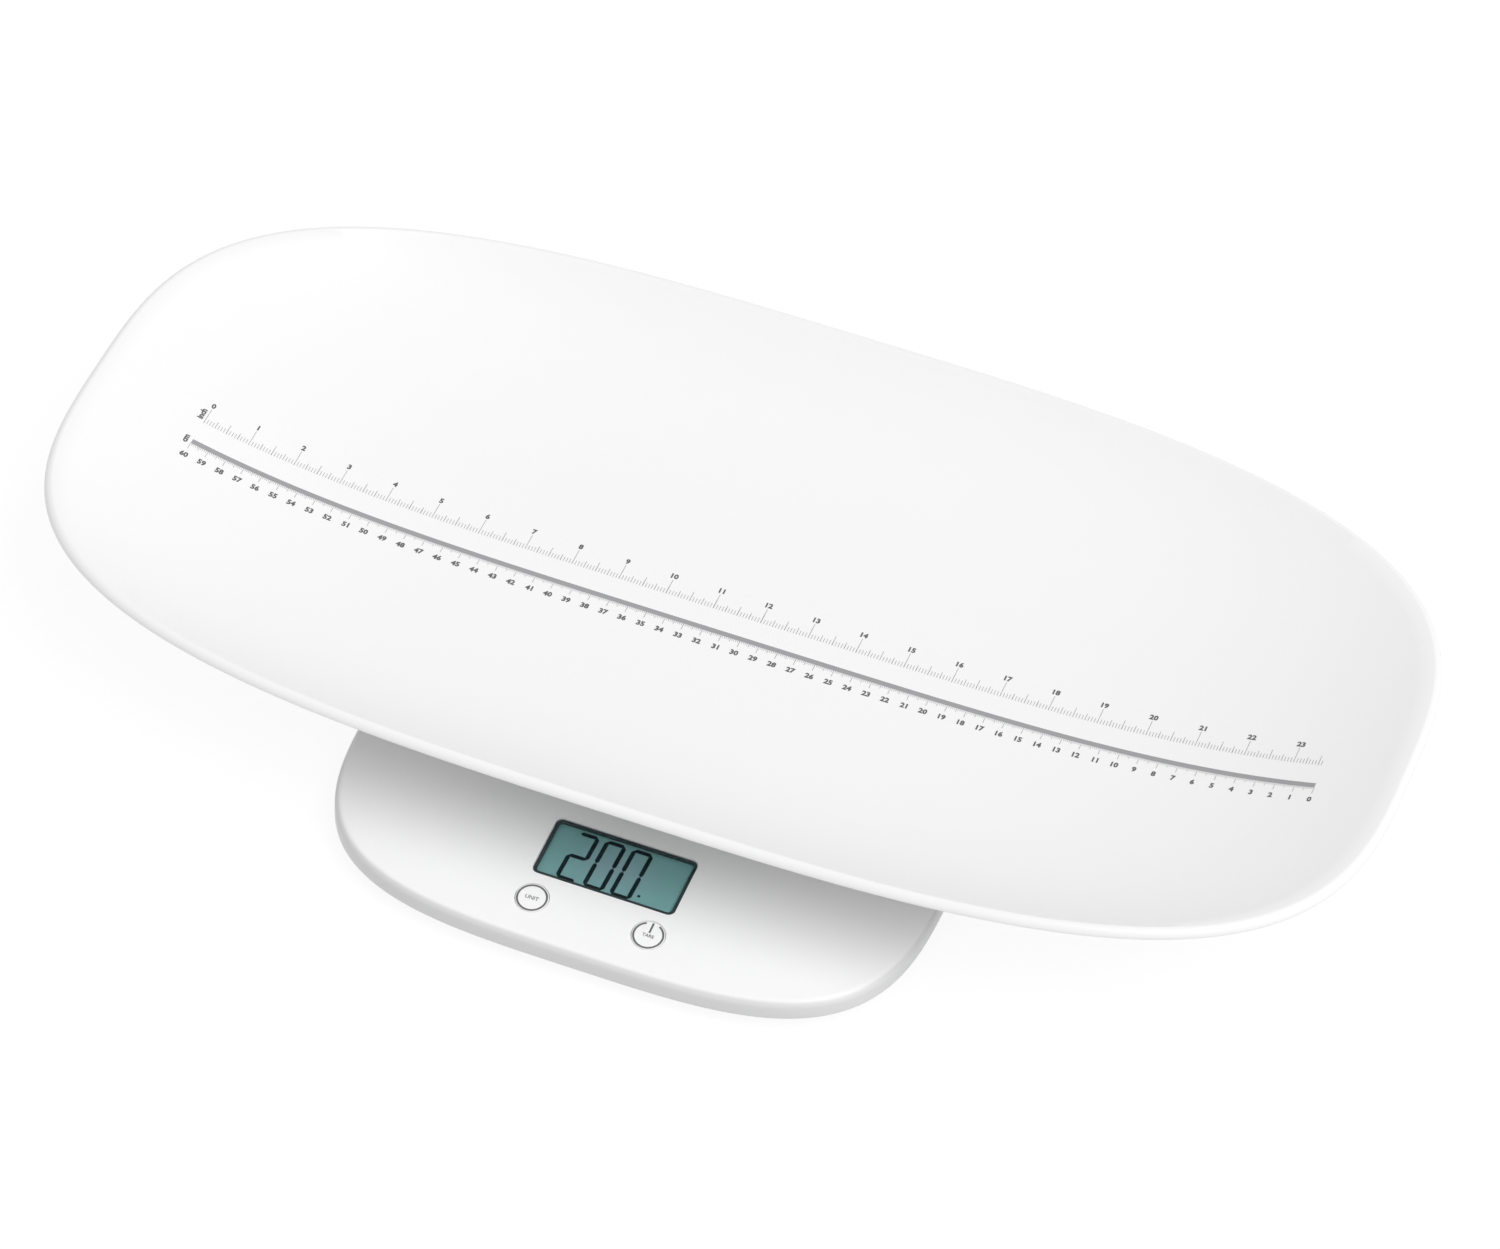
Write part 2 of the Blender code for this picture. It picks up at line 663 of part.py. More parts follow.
def button_openings():
    """A hole for each cap, with a flat face below the deck for the flange."""
    mesh = bmesh.new()
    face_radius = BUTTON_RADIUS + BUTTON_FLANGE_WIDTH + 2 * GAP
    for _, x, y in button_places():
        profile = (
            (face_radius, SWITCH_TOP),
            (face_radius, -WINDOW_FRAME_DEPTH),
            (BUTTON_RADIUS + GAP, -WINDOW_FRAME_DEPTH),
            (BUTTON_RADIUS + GAP, OVERRUN),
        )
        turned(mesh, profile, BUTTON_SIDES, (x, y))
    return mesh


def make_bottom_cover(parent):
    edge_x = BASE_WIDTH / 2 - BOTTOM_INSET
    edge_y = BASE_END_DEPTH - BOTTOM_INSET
    rings = (
        (edge_x - BOTTOM_CHAMFER, edge_y - BOTTOM_CHAMFER, BASE_UNDERSIDE),
        (edge_x, edge_y, BASE_UNDERSIDE + BOTTOM_CHAMFER),
        (edge_x, edge_y, BASE_UNDERSIDE + BOTTOM_RIM_DEPTH),
    )
    cover = shell(
        "base_bottom_cover",
        rings,
        BASE_EXPONENT,
        COVER_WALL,
        -1,
        white_plastic("bottom_cover_plastic"),
        parent,
        location=(0, BASE_CENTRE_Y, 0),
        straight=BASE_STRAIGHT,
    )
    boolean(cover, "UNION", bottom_cover_bosses(), parent)
    boolean(cover, "UNION", battery_well(), parent)
    boolean(cover, "DIFFERENCE", bottom_cover_holes(), parent)
    boolean(cover, "DIFFERENCE", door_recess(), parent)
    boolean(cover, "DIFFERENCE", battery_cavity(), parent)
    boolean(cover, "DIFFERENCE", door_tab_pockets(), parent)
    boolean(cover, "DIFFERENCE", door_scoop(), parent)


def bottom_cover_bosses():
    """Cups for the housing screws, and pins that the brackets' ears slip over."""
    mesh = bmesh.new()
    low = BASE_UNDERSIDE + COVER_WALL / 2
    for x, y in housing_screw_places():
        rod(mesh, SCREW_CUP_RADIUS, low, CUP_TOP_HEIGHT, POST_SIDES, (x, y))
    for place in bracket_pin_places():
        profile = (
            (BRACKET_BOSS_RADIUS, low),
            (BRACKET_BOSS_RADIUS, BRACKET_EAR_HEIGHT - GAP),
            (BRACKET_PIN_RADIUS, BRACKET_EAR_HEIGHT - GAP),
            (BRACKET_PIN_RADIUS, BRACKET_EAR_HEIGHT + BRACKET_EAR_THICKNESS),
        )
        turned(mesh, profile, SCREW_SIDES, place)
    return mesh


def battery_well():
    mesh = bmesh.new()
    grow = GAP + WELL_WALL
    low = BASE_UNDERSIDE + COVER_WALL / 2
    size = (DOOR_LENGTH + 2 * grow, DOOR_WIDTH + 2 * (DOOR_TAB_LENGTH + grow))
    box(mesh, size, low, WELL_CEILING + WELL_WALL, (0, WELL_CENTRE_Y))
    return mesh


def bottom_cover_holes():
    """Foot holes, and stepped holes for the housing screws."""
    mesh = bmesh.new()
    below = BASE_UNDERSIDE - OVERRUN
    for _, x, y in foot_places():
        rod(mesh, FOOT_RADIUS + FOOT_HOLE_CLEARANCE, below, FLOOR_HEIGHT + OVERRUN, FOOT_SIDES, (x, y))
    for x, y in housing_screw_places():
        recess = SCREW_HEAD_RADIUS + SCREW_HEAD_CLEARANCE
        profile = (
            (recess, below),
            (recess, CUP_SEAT_HEIGHT),
            (SCREW_HOLE_RADIUS, CUP_SEAT_HEIGHT),
            (SCREW_HOLE_RADIUS, CUP_TOP_HEIGHT + OVERRUN),
        )
        turned(mesh, profile, SCREW_SIDES, (x, y))
    return mesh


def door_recess():
    mesh = bmesh.new()
    size = (DOOR_LENGTH + 2 * GAP, DOOR_WIDTH + 2 * GAP)
    high = BASE_UNDERSIDE + DOOR_THICKNESS + GAP
    box(mesh, size, BASE_UNDERSIDE - OVERRUN, high, (0, WELL_CENTRE_Y))
    return mesh


def battery_cavity():
    mesh = bmesh.new()
    box(mesh, (WELL_LENGTH, WELL_WIDTH), BASE_UNDERSIDE, WELL_CEILING, (0, WELL_CENTRE_Y))
    return mesh


def door_tab_pockets():
    """Slots behind the door with room for its tabs as it swings."""
    mesh = bmesh.new()
    swing = math.hypot(DOOR_TAB_LENGTH, DOOR_THICKNESS)
    size = (DOOR_TAB_WIDTH + 2 * GAP, swing + DOOR_TAB_LENGTH + 2 * GAP)
    centre = DOOR_HINGE_Y + (DOOR_TAB_LENGTH - swing) / 2
    low = BASE_UNDERSIDE + DOOR_THICKNESS - DOOR_TAB_THICKNESS - GAP
    high = BASE_UNDERSIDE + swing + GAP
    for side in (-1, 1):
        box(mesh, size, low, high, (side * DOOR_TAB_SPACING / 2, centre))
    return mesh


def door_scoop():
    """Finger hollow in front of the door's latch."""
    mesh = bmesh.new()
    place = (0, WELL_CENTRE_Y - DOOR_WIDTH / 2)
    high = BASE_UNDERSIDE + DOOR_SCOOP_DEPTH
    rod(mesh, DOOR_SCOOP_RADIUS, BASE_UNDERSIDE - OVERRUN, high, FOOT_SIDES, place)
    return mesh


def make_battery_door(parent):
    """Hinged on its tabs along the rear edge, with its origin on that line."""
    hinge = (0, DOOR_HINGE_Y, BASE_UNDERSIDE)
    mesh = bmesh.new()
    box(mesh, (DOOR_LENGTH, DOOR_WIDTH), 0, DOOR_THICKNESS, (0, -DOOR_WIDTH / 2))
    door = part("battery_door", mesh, white_plastic("door_plastic"), parent, hinge)
    tabs = bmesh.new()
    for side in (-1, 1):
        box(
            tabs,
            (DOOR_TAB_WIDTH, 2 * DOOR_TAB_LENGTH),
            DOOR_THICKNESS - DOOR_TAB_THICKNESS,
            DOOR_THICKNESS,
            (side * DOOR_TAB_SPACING / 2, 0),
        )
    boolean(door, "UNION", tabs, door)
    slots = bmesh.new()
    for side in (-1, 1):
        box(
            slots,
            (DOOR_LATCH_SLOT, 2 * DOOR_LATCH_LENGTH),
            -OVERRUN,
            DOOR_THICKNESS + OVERRUN,
            (side * DOOR_LATCH_WIDTH / 2, -DOOR_WIDTH),
        )
    boolean(door, "DIFFERENCE", slots, door)


def make_feet(parent):
    """Each foot hangs in its hole, under the tongue of its load cell, with a rubber pad below."""
    pad_seat = FOOT_PAD_THICKNESS + GAP
    profile = (
        (FOOT_PAD_RADIUS + GAP, pad_seat),
        (FOOT_PAD_RADIUS + GAP, FOOT_LIFT),
        (FOOT_RADIUS, FOOT_LIFT),
        (FOOT_RADIUS, FLANGE_HEIGHT),
        (FOOT_FLANGE_RADIUS, FLANGE_HEIGHT),
        (FOOT_FLANGE_RADIUS, SPIGOT_HEIGHT),
        (FOOT_SPIGOT_RADIUS, SPIGOT_HEIGHT),
        (FOOT_SPIGOT_RADIUS, SPIGOT_HEIGHT + FOOT_SPIGOT_HEIGHT),
    )
    for name, x, y in foot_places():
        foot = bmesh.new()
        turned(foot, profile, FOOT_SIDES)
        look = material(f"foot_plastic_{name}", (0.7, 0.71, 0.72), 0.5)
        part(f"foot_{name}", foot, look, parent, (x, y, 0))
        pad = bmesh.new()
        rod(pad, FOOT_PAD_RADIUS, 0, FOOT_PAD_THICKNESS, FOOT_SIDES)
        rubber = material(f"foot_rubber_{name}", (0.3, 0.3, 0.31), 0.8)
        part(f"foot_pad_{name}", pad, rubber, parent, (x, y, 0))


def make_load_cells(parent):
    """Steel plates, each with a tongue cut free on three sides, in plastic brackets."""
    for name, x, y in foot_places():
        plate = bmesh.new()
        top = LOAD_CELL_HEIGHT + LOAD_CELL_THICKNESS
        box(plate, (LOAD_CELL_SIDE, LOAD_CELL_SIDE), LOAD_CELL_HEIGHT, top)
        steel = material(f"cell_steel_{name}", (0.6, 0.6, 0.62), 0.35, 1.0)
        cell = part(f"load_cell_{name}", plate, steel, parent, (x, y, 0))
        for slots in tongue_slots():
            boolean(cell, "DIFFERENCE", slots, cell)
        make_bracket(name, x, y, parent)


def tongue_slots():
    """Two side slots, then the slot across the tongue's free end."""
    low = LOAD_CELL_HEIGHT - OVERRUN
    high = LOAD_CELL_HEIGHT + LOAD_CELL_THICKNESS + OVERRUN
    length = LOAD_CELL_SIDE - 2 * LOAD_CELL_FRAME
    reach = (LOAD_CELL_TONGUE + LOAD_CELL_SLOT) / 2
    sides = bmesh.new()
    for side in (-1, 1):
        box(sides, (LOAD_CELL_SLOT, length), low, high, (side * reach, 0))
    across = bmesh.new()
    box(across, (2 * reach, LOAD_CELL_SLOT), low, high, (0, LOAD_CELL_SLOT - length / 2))
    return sides, across


def make_bracket(name, x, y, parent):
    frame = bmesh.new()
    box(frame, (BRACKET_SIDE, BRACKET_SIDE), BRACKET_HEIGHT, BRACKET_TOP, corner=BRACKET_WALL)
    look = material(f"bracket_plastic_{name}", (0.75, 0.75, 0.74), 0.45)
    bracket = part(f"load_cell_bracket_{name}", frame, look, parent, (x, y, 0))
    ears = bmesh.new()
    length = BRACKET_SIDE + 2 * BRACKET_EAR_LENGTH
    top = BRACKET_EAR_HEIGHT + BRACKET_EAR_THICKNESS
    box(ears, (BRACKET_EAR_WIDTH, length), BRACKET_EAR_HEIGHT, top)
    boolean(bracket, "UNION", ears, bracket)
    skirt = bmesh.new()
    skirt_top = LOAD_CELL_HEIGHT - GAP
    box(skirt, (BRACKET_SKIRT_SIDE, BRACKET_SKIRT_SIDE), BRACKET_HEIGHT - OVERRUN, skirt_top)
    boolean(bracket, "DIFFERENCE", skirt, bracket)
    pocket = bmesh.new()
    side = LOAD_CELL_SIDE + 2 * GAP
    box(pocket, (side, side), BRACKET_HEIGHT, BRACKET_POCKET_TOP)
    boolean(bracket, "DIFFERENCE", pocket, bracket)
    holes = bmesh.new()
    rod(holes, BRACKET_HOLE_RADIUS, BRACKET_HEIGHT, BRACKET_TOP + OVERRUN, POST_SIDES)
    for end in (-1, 1):
        place = (0, end * (BRACKET_SIDE + BRACKET_EAR_LENGTH) / 2)
        low = BRACKET_EAR_HEIGHT - OVERRUN
        rod(holes, BRACKET_PIN_RADIUS + GAP, low, top + OVERRUN, SCREW_SIDES, place)
    boolean(bracket, "DIFFERENCE", holes, bracket)


def make_screw(name, seat, length, parent, place):
    """Pan head below its seat, threaded shank above it."""
    mesh = bmesh.new()
    profile = (
        (SCREW_HEAD_RADIUS, seat - SCREW_HEAD_HEIGHT),
        (SCREW_HEAD_RADIUS, seat),
        (SCREW_RADIUS, seat),
        (SCREW_RADIUS, seat + length),
    )
    turned(mesh, profile, SCREW_SIDES)
    part(name, mesh, screw_steel(f"{name}_steel"), parent, (*place, 0))


def make_screws(parent, module):
    for count, place in enumerate(housing_screw_places(), 1):
        make_screw(f"housing_screw_{count}", CUP_SEAT_HEIGHT - GAP, HOUSING_SCREW_LENGTH, parent, place)
    for count, place in enumerate(board_screw_places(), 1):
        make_screw(f"pcb_screw_{count}", BOARD_BOTTOM - GAP, BOARD_SCREW_LENGTH, module, place)


def screw_steel(name):
    return material(name, (0.55, 0.55, 0.56), 0.3, 1.0)


def make_display(module):
    lens = bmesh.new()
    top = -LENS_RECESS
    box(lens, window_size(0), top - LENS_THICKNESS, top, corner=LENS_CORNER)
    part("lcd_window_lens", lens, material("clear_window", (0.2, 0.34, 0.34), 0.08), module)
    glass = bmesh.new()
    box(glass, (GLASS_LENGTH, GLASS_WIDTH), GLASS_TOP - GLASS_THICKNESS, GLASS_TOP)
    part("lcd_glass", glass, material("lcd_teal", (0.16, 0.29, 0.29), 0.2), module)
    frame = bmesh.new()
    inner = (GLASS_LENGTH + 2 * GAP, GLASS_WIDTH + 2 * GAP)
    outer = (inner[0] + 2 * LCD_FRAME_WALL, inner[1] + 2 * LCD_FRAME_WALL)
    box(frame, outer, LCD_FRAME_BOTTOM, LCD_FRAME_TOP)
    holder = part("lcd_frame", frame, white_plastic("lcd_frame_plastic"), module)
    pocket = bmesh.new()
    box(pocket, inner, LCD_FRAME_SEAT, LCD_FRAME_TOP + OVERRUN)
    boolean(holder, "DIFFERENCE", pocket, module)
    through = bmesh.new()
    low = LCD_FRAME_BOTTOM - OVERRUN
    high = LCD_FRAME_SEAT + OVERRUN
    opening = (inner[0] - 2 * LCD_FRAME_LEDGE, inner[1] - 2 * LCD_FRAME_LEDGE)
    box(through, opening, low, high)
    slot = (ZEBRA_LENGTH + 2 * GAP, ZEBRA_WIDTH + 2 * GAP)
    box(through, slot, low, high, (0, zebra_place()))
    boolean(holder, "DIFFERENCE", through, module)
    strip = bmesh.new()
    high = GLASS_TOP - GLASS_THICKNESS - GAP
    box(strip, (ZEBRA_LENGTH, ZEBRA_WIDTH), BOARD_TOP + GAP, high, (0, zebra_place()))
    part("zebra_connector", strip, material("zebra_rubber", (0.5, 0.3, 0.32), 0.7), module)


def zebra_place():
    """Middle of the ledge behind the display's opening."""
    return GLASS_WIDTH / 2 - LCD_FRAME_LEDGE / 2


def make_board(module):
    board = bmesh.new()
    centre = BOARD_FRONT + BOARD_WIDTH / 2
    box(board, (BOARD_LENGTH, BOARD_WIDTH), BOARD_BOTTOM, BOARD_TOP, (0, centre))
    green = material("board_green", (0.05, 0.25, 0.12), 0.4)
    plate = part("main_pcb", board, green, module)
    holes = bmesh.new()
    for place in board_screw_places() + board_pin_places():
        rod(holes, SCREW_HOLE_RADIUS, BOARD_BOTTOM - OVERRUN, BOARD_TOP + OVERRUN, SCREW_SIDES, place)
    boolean(plate, "DIFFERENCE", holes, module)
    chip = bmesh.new()
    top = BOARD_BOTTOM - GAP
    box(chip, (CHIP_SIDE, CHIP_SIDE), top - CHIP_THICKNESS, top, (0, centre))
    part("controller_chip", chip, material("chip_black", (0.03, 0.03, 0.03), 0.4), module)


def make_buttons(module):
    """Cap, switch body and plunger for each button, with their origins on the press axis."""
    for name, x, y in button_places():
        cap = bmesh.new()
        profile = (
            (BUTTON_STEM_RADIUS, STEM_BOTTOM),
            (BUTTON_STEM_RADIUS, FLANGE_BOTTOM),
            (BUTTON_RADIUS + BUTTON_FLANGE_WIDTH, FLANGE_BOTTOM),
            (BUTTON_RADIUS + BUTTON_FLANGE_WIDTH, FLANGE_TOP),
            (BUTTON_RADIUS, FLANGE_TOP),
            (BUTTON_RADIUS, 0),
        )
        turned(cap, profile, BUTTON_SIDES)
        for vert in cap.verts:
            if vert.co.z > FLANGE_TOP / 2:
                vert.co.z = deck_in_module(x + vert.co.x, y + vert.co.y) + BUTTON_PROUD
        part(f"{name}_button_cap", cap, white_plastic(f"{name}_cap_plastic"), module, (x, y, 0))
        body = bmesh.new()
        box(body, (SWITCH_SIDE, SWITCH_SIDE), SWITCH_BOTTOM, SWITCH_TOP)
        black = material(f"{name}_switch_black", (0.04, 0.04, 0.04), 0.5)
        switch = part(f"{name}_switch_body", body, black, module, (x, y, 0))
        well = bmesh.new()
        low = plunger_bottom() - BUTTON_TRAVEL - GAP / 2
        rod(well, PLUNGER_RADIUS + GAP, low, SWITCH_TOP + OVERRUN, POST_SIDES)
        boolean(switch, "DIFFERENCE", well, switch)
        plunger = bmesh.new()
        rod(plunger, PLUNGER_RADIUS, plunger_bottom(), PLUNGER_TOP, POST_SIDES)
        tan = material(f"{name}_plunger_plastic", (0.25, 0.2, 0.15), 0.5)
        part(f"{name}_switch_plunger", plunger, tan, module, (x, y, 0))


def plunger_bottom():
    return SWITCH_BOTTOM + SWITCH_FLOOR + BUTTON_TRAVEL


def lying(direction, x, y, z):
    """Frame whose own Z runs along the given direction of X."""
    turn = Matrix.Rotation(direction * QUARTER_TURN, 4, "Y")
    return Matrix.Translation((x, y, z)) @ turn


def make_batteries(parent):
    """Three cells side by side, each pressed by its spring towards the other contact."""
    body_length = CELL_LENGTH - CELL_NUB_LENGTH
    profile = (
        (CELL_RADIUS, 0),
        (CELL_RADIUS, body_length),
        (CELL_NUB_RADIUS, body_length),
        (CELL_NUB_RADIUS, CELL_LENGTH),
    )
    for count, (y, direction) in enumerate(cell_places(), 1):
        near_plate = direction * (WELL_LENGTH / 2 - GAP - CONTACT_THICKNESS - GAP)
        start = near_plate - direction * CELL_LENGTH
        cell = bmesh.new()
        turned(cell, profile, CELL_SIDES, frame=lying(direction, 0, 0, 0))
        look = material(f"battery_wrap_{count}", (0.1, 0.12, 0.16), 0.35)
        part(f"battery_{count}", cell, look, parent, (start, y, CELL_HEIGHT))
        behind = (start - direction * GAP, y, CELL_HEIGHT)
        make_spring(f"battery_spring_{count}", -direction, parent, behind)


def make_contacts(parent):
    """At each end one plate serves one cell, and another joins the two cells beside it."""
    rows = [y for y, _ in cell_places()]
    ends = (("left", -1, rows[0], rows[1:]), ("right", 1, rows[-1], rows[:-1]))
    for side_name, side, single, joined in ends:
        x = side * (WELL_LENGTH / 2 - GAP - CONTACT_THICKNESS / 2)
        middle = sum(joined) / len(joined)
        width = CONTACT_SIDE + joined[-1] - joined[0]
        for name, y, across in (("end", single, CONTACT_SIDE), ("bridge", middle, width)):
            plate = bmesh.new()
            box(plate, (CONTACT_THICKNESS, across), -CONTACT_SIDE / 2, CONTACT_SIDE / 2)
            full_name = f"battery_contact_{name}_{side_name}"
            part(full_name, plate, screw_steel(f"{full_name}_nickel"), parent, (x, y, CELL_HEIGHT))


def make_spring(name, direction, parent, place):
    """A coil from the cell's end to the contact plate behind it."""
    total = SPRING_TURNS * SPRING_POINTS_A_TURN
    run = SPRING_LENGTH - 2 * SPRING_WIRE_RADIUS - GAP
    curve = bpy.data.curves.new(name, "CURVE")
    curve.dimensions = "3D"
    curve.bevel_depth = SPRING_WIRE_RADIUS
    curve.bevel_resolution = 0
    curve.use_fill_caps = True
    curve.materials.append(screw_steel(f"{name}_nickel"))
    line = curve.splines.new("POLY")
    line.points.add(total)
    for count in range(total + 1):
        angle = 2 * HALF_TURN * count / SPRING_POINTS_A_TURN
        along = direction * (SPRING_WIRE_RADIUS + run * count / total)
        line.points[count].co = (along, SPRING_RADIUS * math.cos(angle), SPRING_RADIUS * math.sin(angle), 1)
    made = bpy.data.objects.new(name, curve)
    made.parent = parent
    made.location = place
    bpy.data.collections["baby_weighing_scale"].objects.link(made)


def smooth_route(points, step):
    """Points at an even pace along a smooth curve through the route."""
    points = [Vector(point) for point in points]
    ends = [2 * points[0] - points[1], *points, 2 * points[-1] - points[-2]]
    fine = []
    for a, b, c, d in zip(ends, ends[1:], ends[2:], ends[3:]):
        pieces = max(2, math.ceil((c - b).length / step))
        for count in range(pieces):
            t = count / pieces
            smooth = b * 2 + (c - a) * t + (a * 2 - b * 5 + c * 4 - d) * t**2
            fine.append((smooth + (b * 3 - a - c * 3 + d) * t**3) / 2)
    return [*fine, points[-1]]


def make_lead(name, route, side, colour, parent):
    """A held wire that lies on the floor of the base and rises to the underside of the board."""
    height = FLOOR_HEIGHT + GAP + LEAD_RADIUS
    flat = [Vector((side * x * MM, y * MM - BASE_FRONT_REACH, height)) for x, y in route]
    end = flat.pop()
    local = MODULE_FRAME.inverted() @ end
    under_board = MODULE_FRAME @ Vector((local.x, local.y, BOARD_BOTTOM - GAP))
    knee = Vector((end.x, end.y, (height + under_board.z) / 2))
    points = [*smooth_route([*flat, knee], LEAD_STEP), Vector((end.x, end.y, under_board.z))]
    curve = bpy.data.curves.new(name, "CURVE")
    curve.dimensions = "3D"
    curve.bevel_depth = LEAD_RADIUS
    curve.bevel_resolution = 2
    curve.use_fill_caps = True
    curve.materials.append(material(f"{name}_pvc", colour, 0.5))
    line = curve.splines.new("POLY")
    line.points.add(len(points) - 1)
    for target, point in zip(line.points, points):
        target.co = (*point, 1)
    made = bpy.data.objects.new(name, curve)
    made.parent = parent
    bpy.data.collections["baby_weighing_scale"].objects.link(made)


def make_leads(parent):
    for side_name, side in (("left", -1), ("right", 1)):
        make_lead(f"sensor_lead_front_{side_name}", FRONT_LEAD_ROUTE, side, (0.6, 0.6, 0.6), parent)
        make_lead(f"sensor_lead_rear_{side_name}", REAR_LEAD_ROUTE, side, (0.6, 0.6, 0.6), parent)
    make_lead("battery_lead_positive", BATTERY_LEAD_ROUTE, 1, (0.6, 0.05, 0.04), parent)
    make_lead("battery_lead_negative", BATTERY_LEAD_ROUTE, -1, (0.03, 0.03, 0.03), parent)


def main():
    clear_scene()
    whole = empty("scale_centre", None, (0, CENTRING_SHIFT, 0))
    module = empty("control_module", whole, (0, LCD_CENTRE_Y, LCD_HEIGHT), LCD_TILT)
    make_tray(whole)
    make_seat_pads(whole)
    make_top_cover(whole, module)
    make_bottom_cover(whole)
    make_battery_door(whole)
    make_feet(whole)
    make_load_cells(whole)
    make_screws(whole, module)
    make_display(module)
    make_board(module)
    make_buttons(module)
    make_batteries(whole)
    make_contacts(whole)
    make_leads(whole)


main()
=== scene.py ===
"""The looks of a digital baby weighing scale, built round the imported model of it.

+Z is up, X runs along the tray and the display side faces -Y. Lengths are in metres.
"""

import bisect
import json
import math

import bpy
from mathutils import Matrix, Quaternion, Vector


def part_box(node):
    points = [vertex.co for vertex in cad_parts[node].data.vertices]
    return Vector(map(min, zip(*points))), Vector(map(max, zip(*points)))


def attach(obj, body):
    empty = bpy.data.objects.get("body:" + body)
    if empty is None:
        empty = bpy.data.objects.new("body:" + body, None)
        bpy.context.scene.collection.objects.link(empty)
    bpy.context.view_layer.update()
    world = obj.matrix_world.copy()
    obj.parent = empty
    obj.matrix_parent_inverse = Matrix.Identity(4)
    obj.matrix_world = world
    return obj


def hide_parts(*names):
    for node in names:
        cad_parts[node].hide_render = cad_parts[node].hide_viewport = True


bl_info = {
    "name": "Baby Weighing Scale",
    "version": (1, 0, 0),
    "blender": (4, 5, 0),
    "location": "3D Viewport > Sidebar > Baby Scale",
    "description": "Builds the tray, base, display, buttons and feet of a baby weighing scale",
    "category": "Object",
}

MM = 0.001
QUARTERS = ("front_left", "front_right", "rear_left", "rear_right")
FILM = 0.02 * MM  # Thickness of the digits' bars
CORE = 1.0 * MM  # Radius of the flat middle of a foot and its pad

# The ruler's units, and its marks: marks to a unit, and their length in millimetres
UNITS = {"cm": 10 * MM, "inch": 25.4 * MM}
MARKS = {
    "cm": (("fine", 10, 1.4), ("half", 2, 2.4), ("whole", 1, 4.4)),
    "inch": (("fine", 16, 3.2), ("quarter", 4, 4.6), ("half", 2, 6.6), ("whole", 1, 10.4)),
}

# A digit's bars: place in half widths and half heights, and whether the bar stands
BARS = {
    "top": (0, 1, False),
    "middle": (0, 0, False),
    "bottom": (0, -1, False),
    "upper_left": (-1, 0.5, True),
    "upper_right": (1, 0.5, True),
    "lower_left": (-1, -0.5, True),
    "lower_right": (1, -0.5, True),
}
FIGURES = {
    "0": ("top", "upper_left", "upper_right", "lower_left", "lower_right", "bottom"),
    "2": ("top", "upper_right", "middle", "lower_left", "bottom"),
}

INNER_LOOKS = {
    "inner_plastic": ("bracket_plastic", (0.6, 0.6, 0.58), 0.5),
    "steel": ("pressed_steel", (0.6, 0.6, 0.6), 0.32, 0.14, 0.03, 1800, 0.004, 1.0),
    "cell_steel": ("plate_steel", (0.42, 0.42, 0.43), 0.4, 0.16, 0.03, 1500, 0.006, 1.0),
    "board": ("board_lacquer", (0.02, 0.16, 0.07), 0.35, 0.06, 0.15, 1200),
    "black_plastic": ("switch_housing", (0.02, 0.02, 0.022), 0.45, 0.06, 0.1, 1500),
    "switch_plastic": ("plunger_plastic", (0.7, 0.68, 0.6), 0.45, 0.06, 0.03, 1500, 0.006),
    "zebra_rubber": ("zebra_strip", (0.5, 0.2, 0.22), 0.7, 0.06, 0.2, 2000),
    "grey_wire": ("grey_lead", (0.25, 0.25, 0.26), 0.5, 0.06, 0.03, 1500),
    "red_wire": ("red_lead", (0.5, 0.03, 0.03), 0.45, 0.06, 0.03, 1500),
    "black_wire": ("black_lead", (0.015, 0.015, 0.015), 0.45, 0.06, 0.03, 1500),
}

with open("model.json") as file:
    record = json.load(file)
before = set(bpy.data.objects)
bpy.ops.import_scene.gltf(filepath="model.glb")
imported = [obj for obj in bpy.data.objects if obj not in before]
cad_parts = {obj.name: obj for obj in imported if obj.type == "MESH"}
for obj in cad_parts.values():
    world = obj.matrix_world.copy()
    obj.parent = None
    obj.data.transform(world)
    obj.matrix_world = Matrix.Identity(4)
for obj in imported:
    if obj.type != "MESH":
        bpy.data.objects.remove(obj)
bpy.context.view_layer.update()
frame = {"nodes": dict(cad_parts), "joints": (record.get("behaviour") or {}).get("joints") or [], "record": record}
JOINTS = {joint["name"]: joint for joint in frame["joints"]}
SLOTS = {entry["node"]: entry["material_slot"] for entry in frame["record"]["subparts"]}


def node_size(node):
    low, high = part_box(node)
    return high - low


def node_middle(node):
    low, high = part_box(node)
    return (low + high) / 2


def places_of(prefix, names=QUARTERS):
    """Middle of each node of a set, seen from above."""
    return {name: node_middle(f"{prefix}_{name}").xy for name in names}


TRAY_MIDDLE = node_middle("tray_shell")
TRAY_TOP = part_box("tray_shell")[1].z
BASE_MIDDLE = node_middle("base_top_cover")
BASE_SIZE = node_size("base_top_cover")
BASE_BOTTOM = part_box("base_bottom_cover")[0].z
PRESS = Vector(JOINTS["unit_button_press"]["axis"])
PANEL_TILT = math.atan2(PRESS.y, -PRESS.z)


def panel_points(node):
    """A control-panel node's points, turned level about X."""
    level = Matrix.Rotation(-PANEL_TILT, 4, "X")
    return [level @ vert.co for vert in frame["nodes"][node].data.vertices]


def panel_size(node):
    """Length, width and thickness of a control-panel node, along the panel."""
    points = panel_points(node)
    return [max(p[axis] for p in points) - min(p[axis] for p in points) for axis in range(3)]


WINDOW_SIZE = panel_size("lcd_window_lens")
CRYSTAL_SIZE = panel_size("lcd_glass")


def length(name, description, default):
    return bpy.props.FloatProperty(
        name=name, description=description, default=default, precision=5, unit="LENGTH"
    )


def number(name, description, default):
    return bpy.props.FloatProperty(name=name, description=description, default=default)


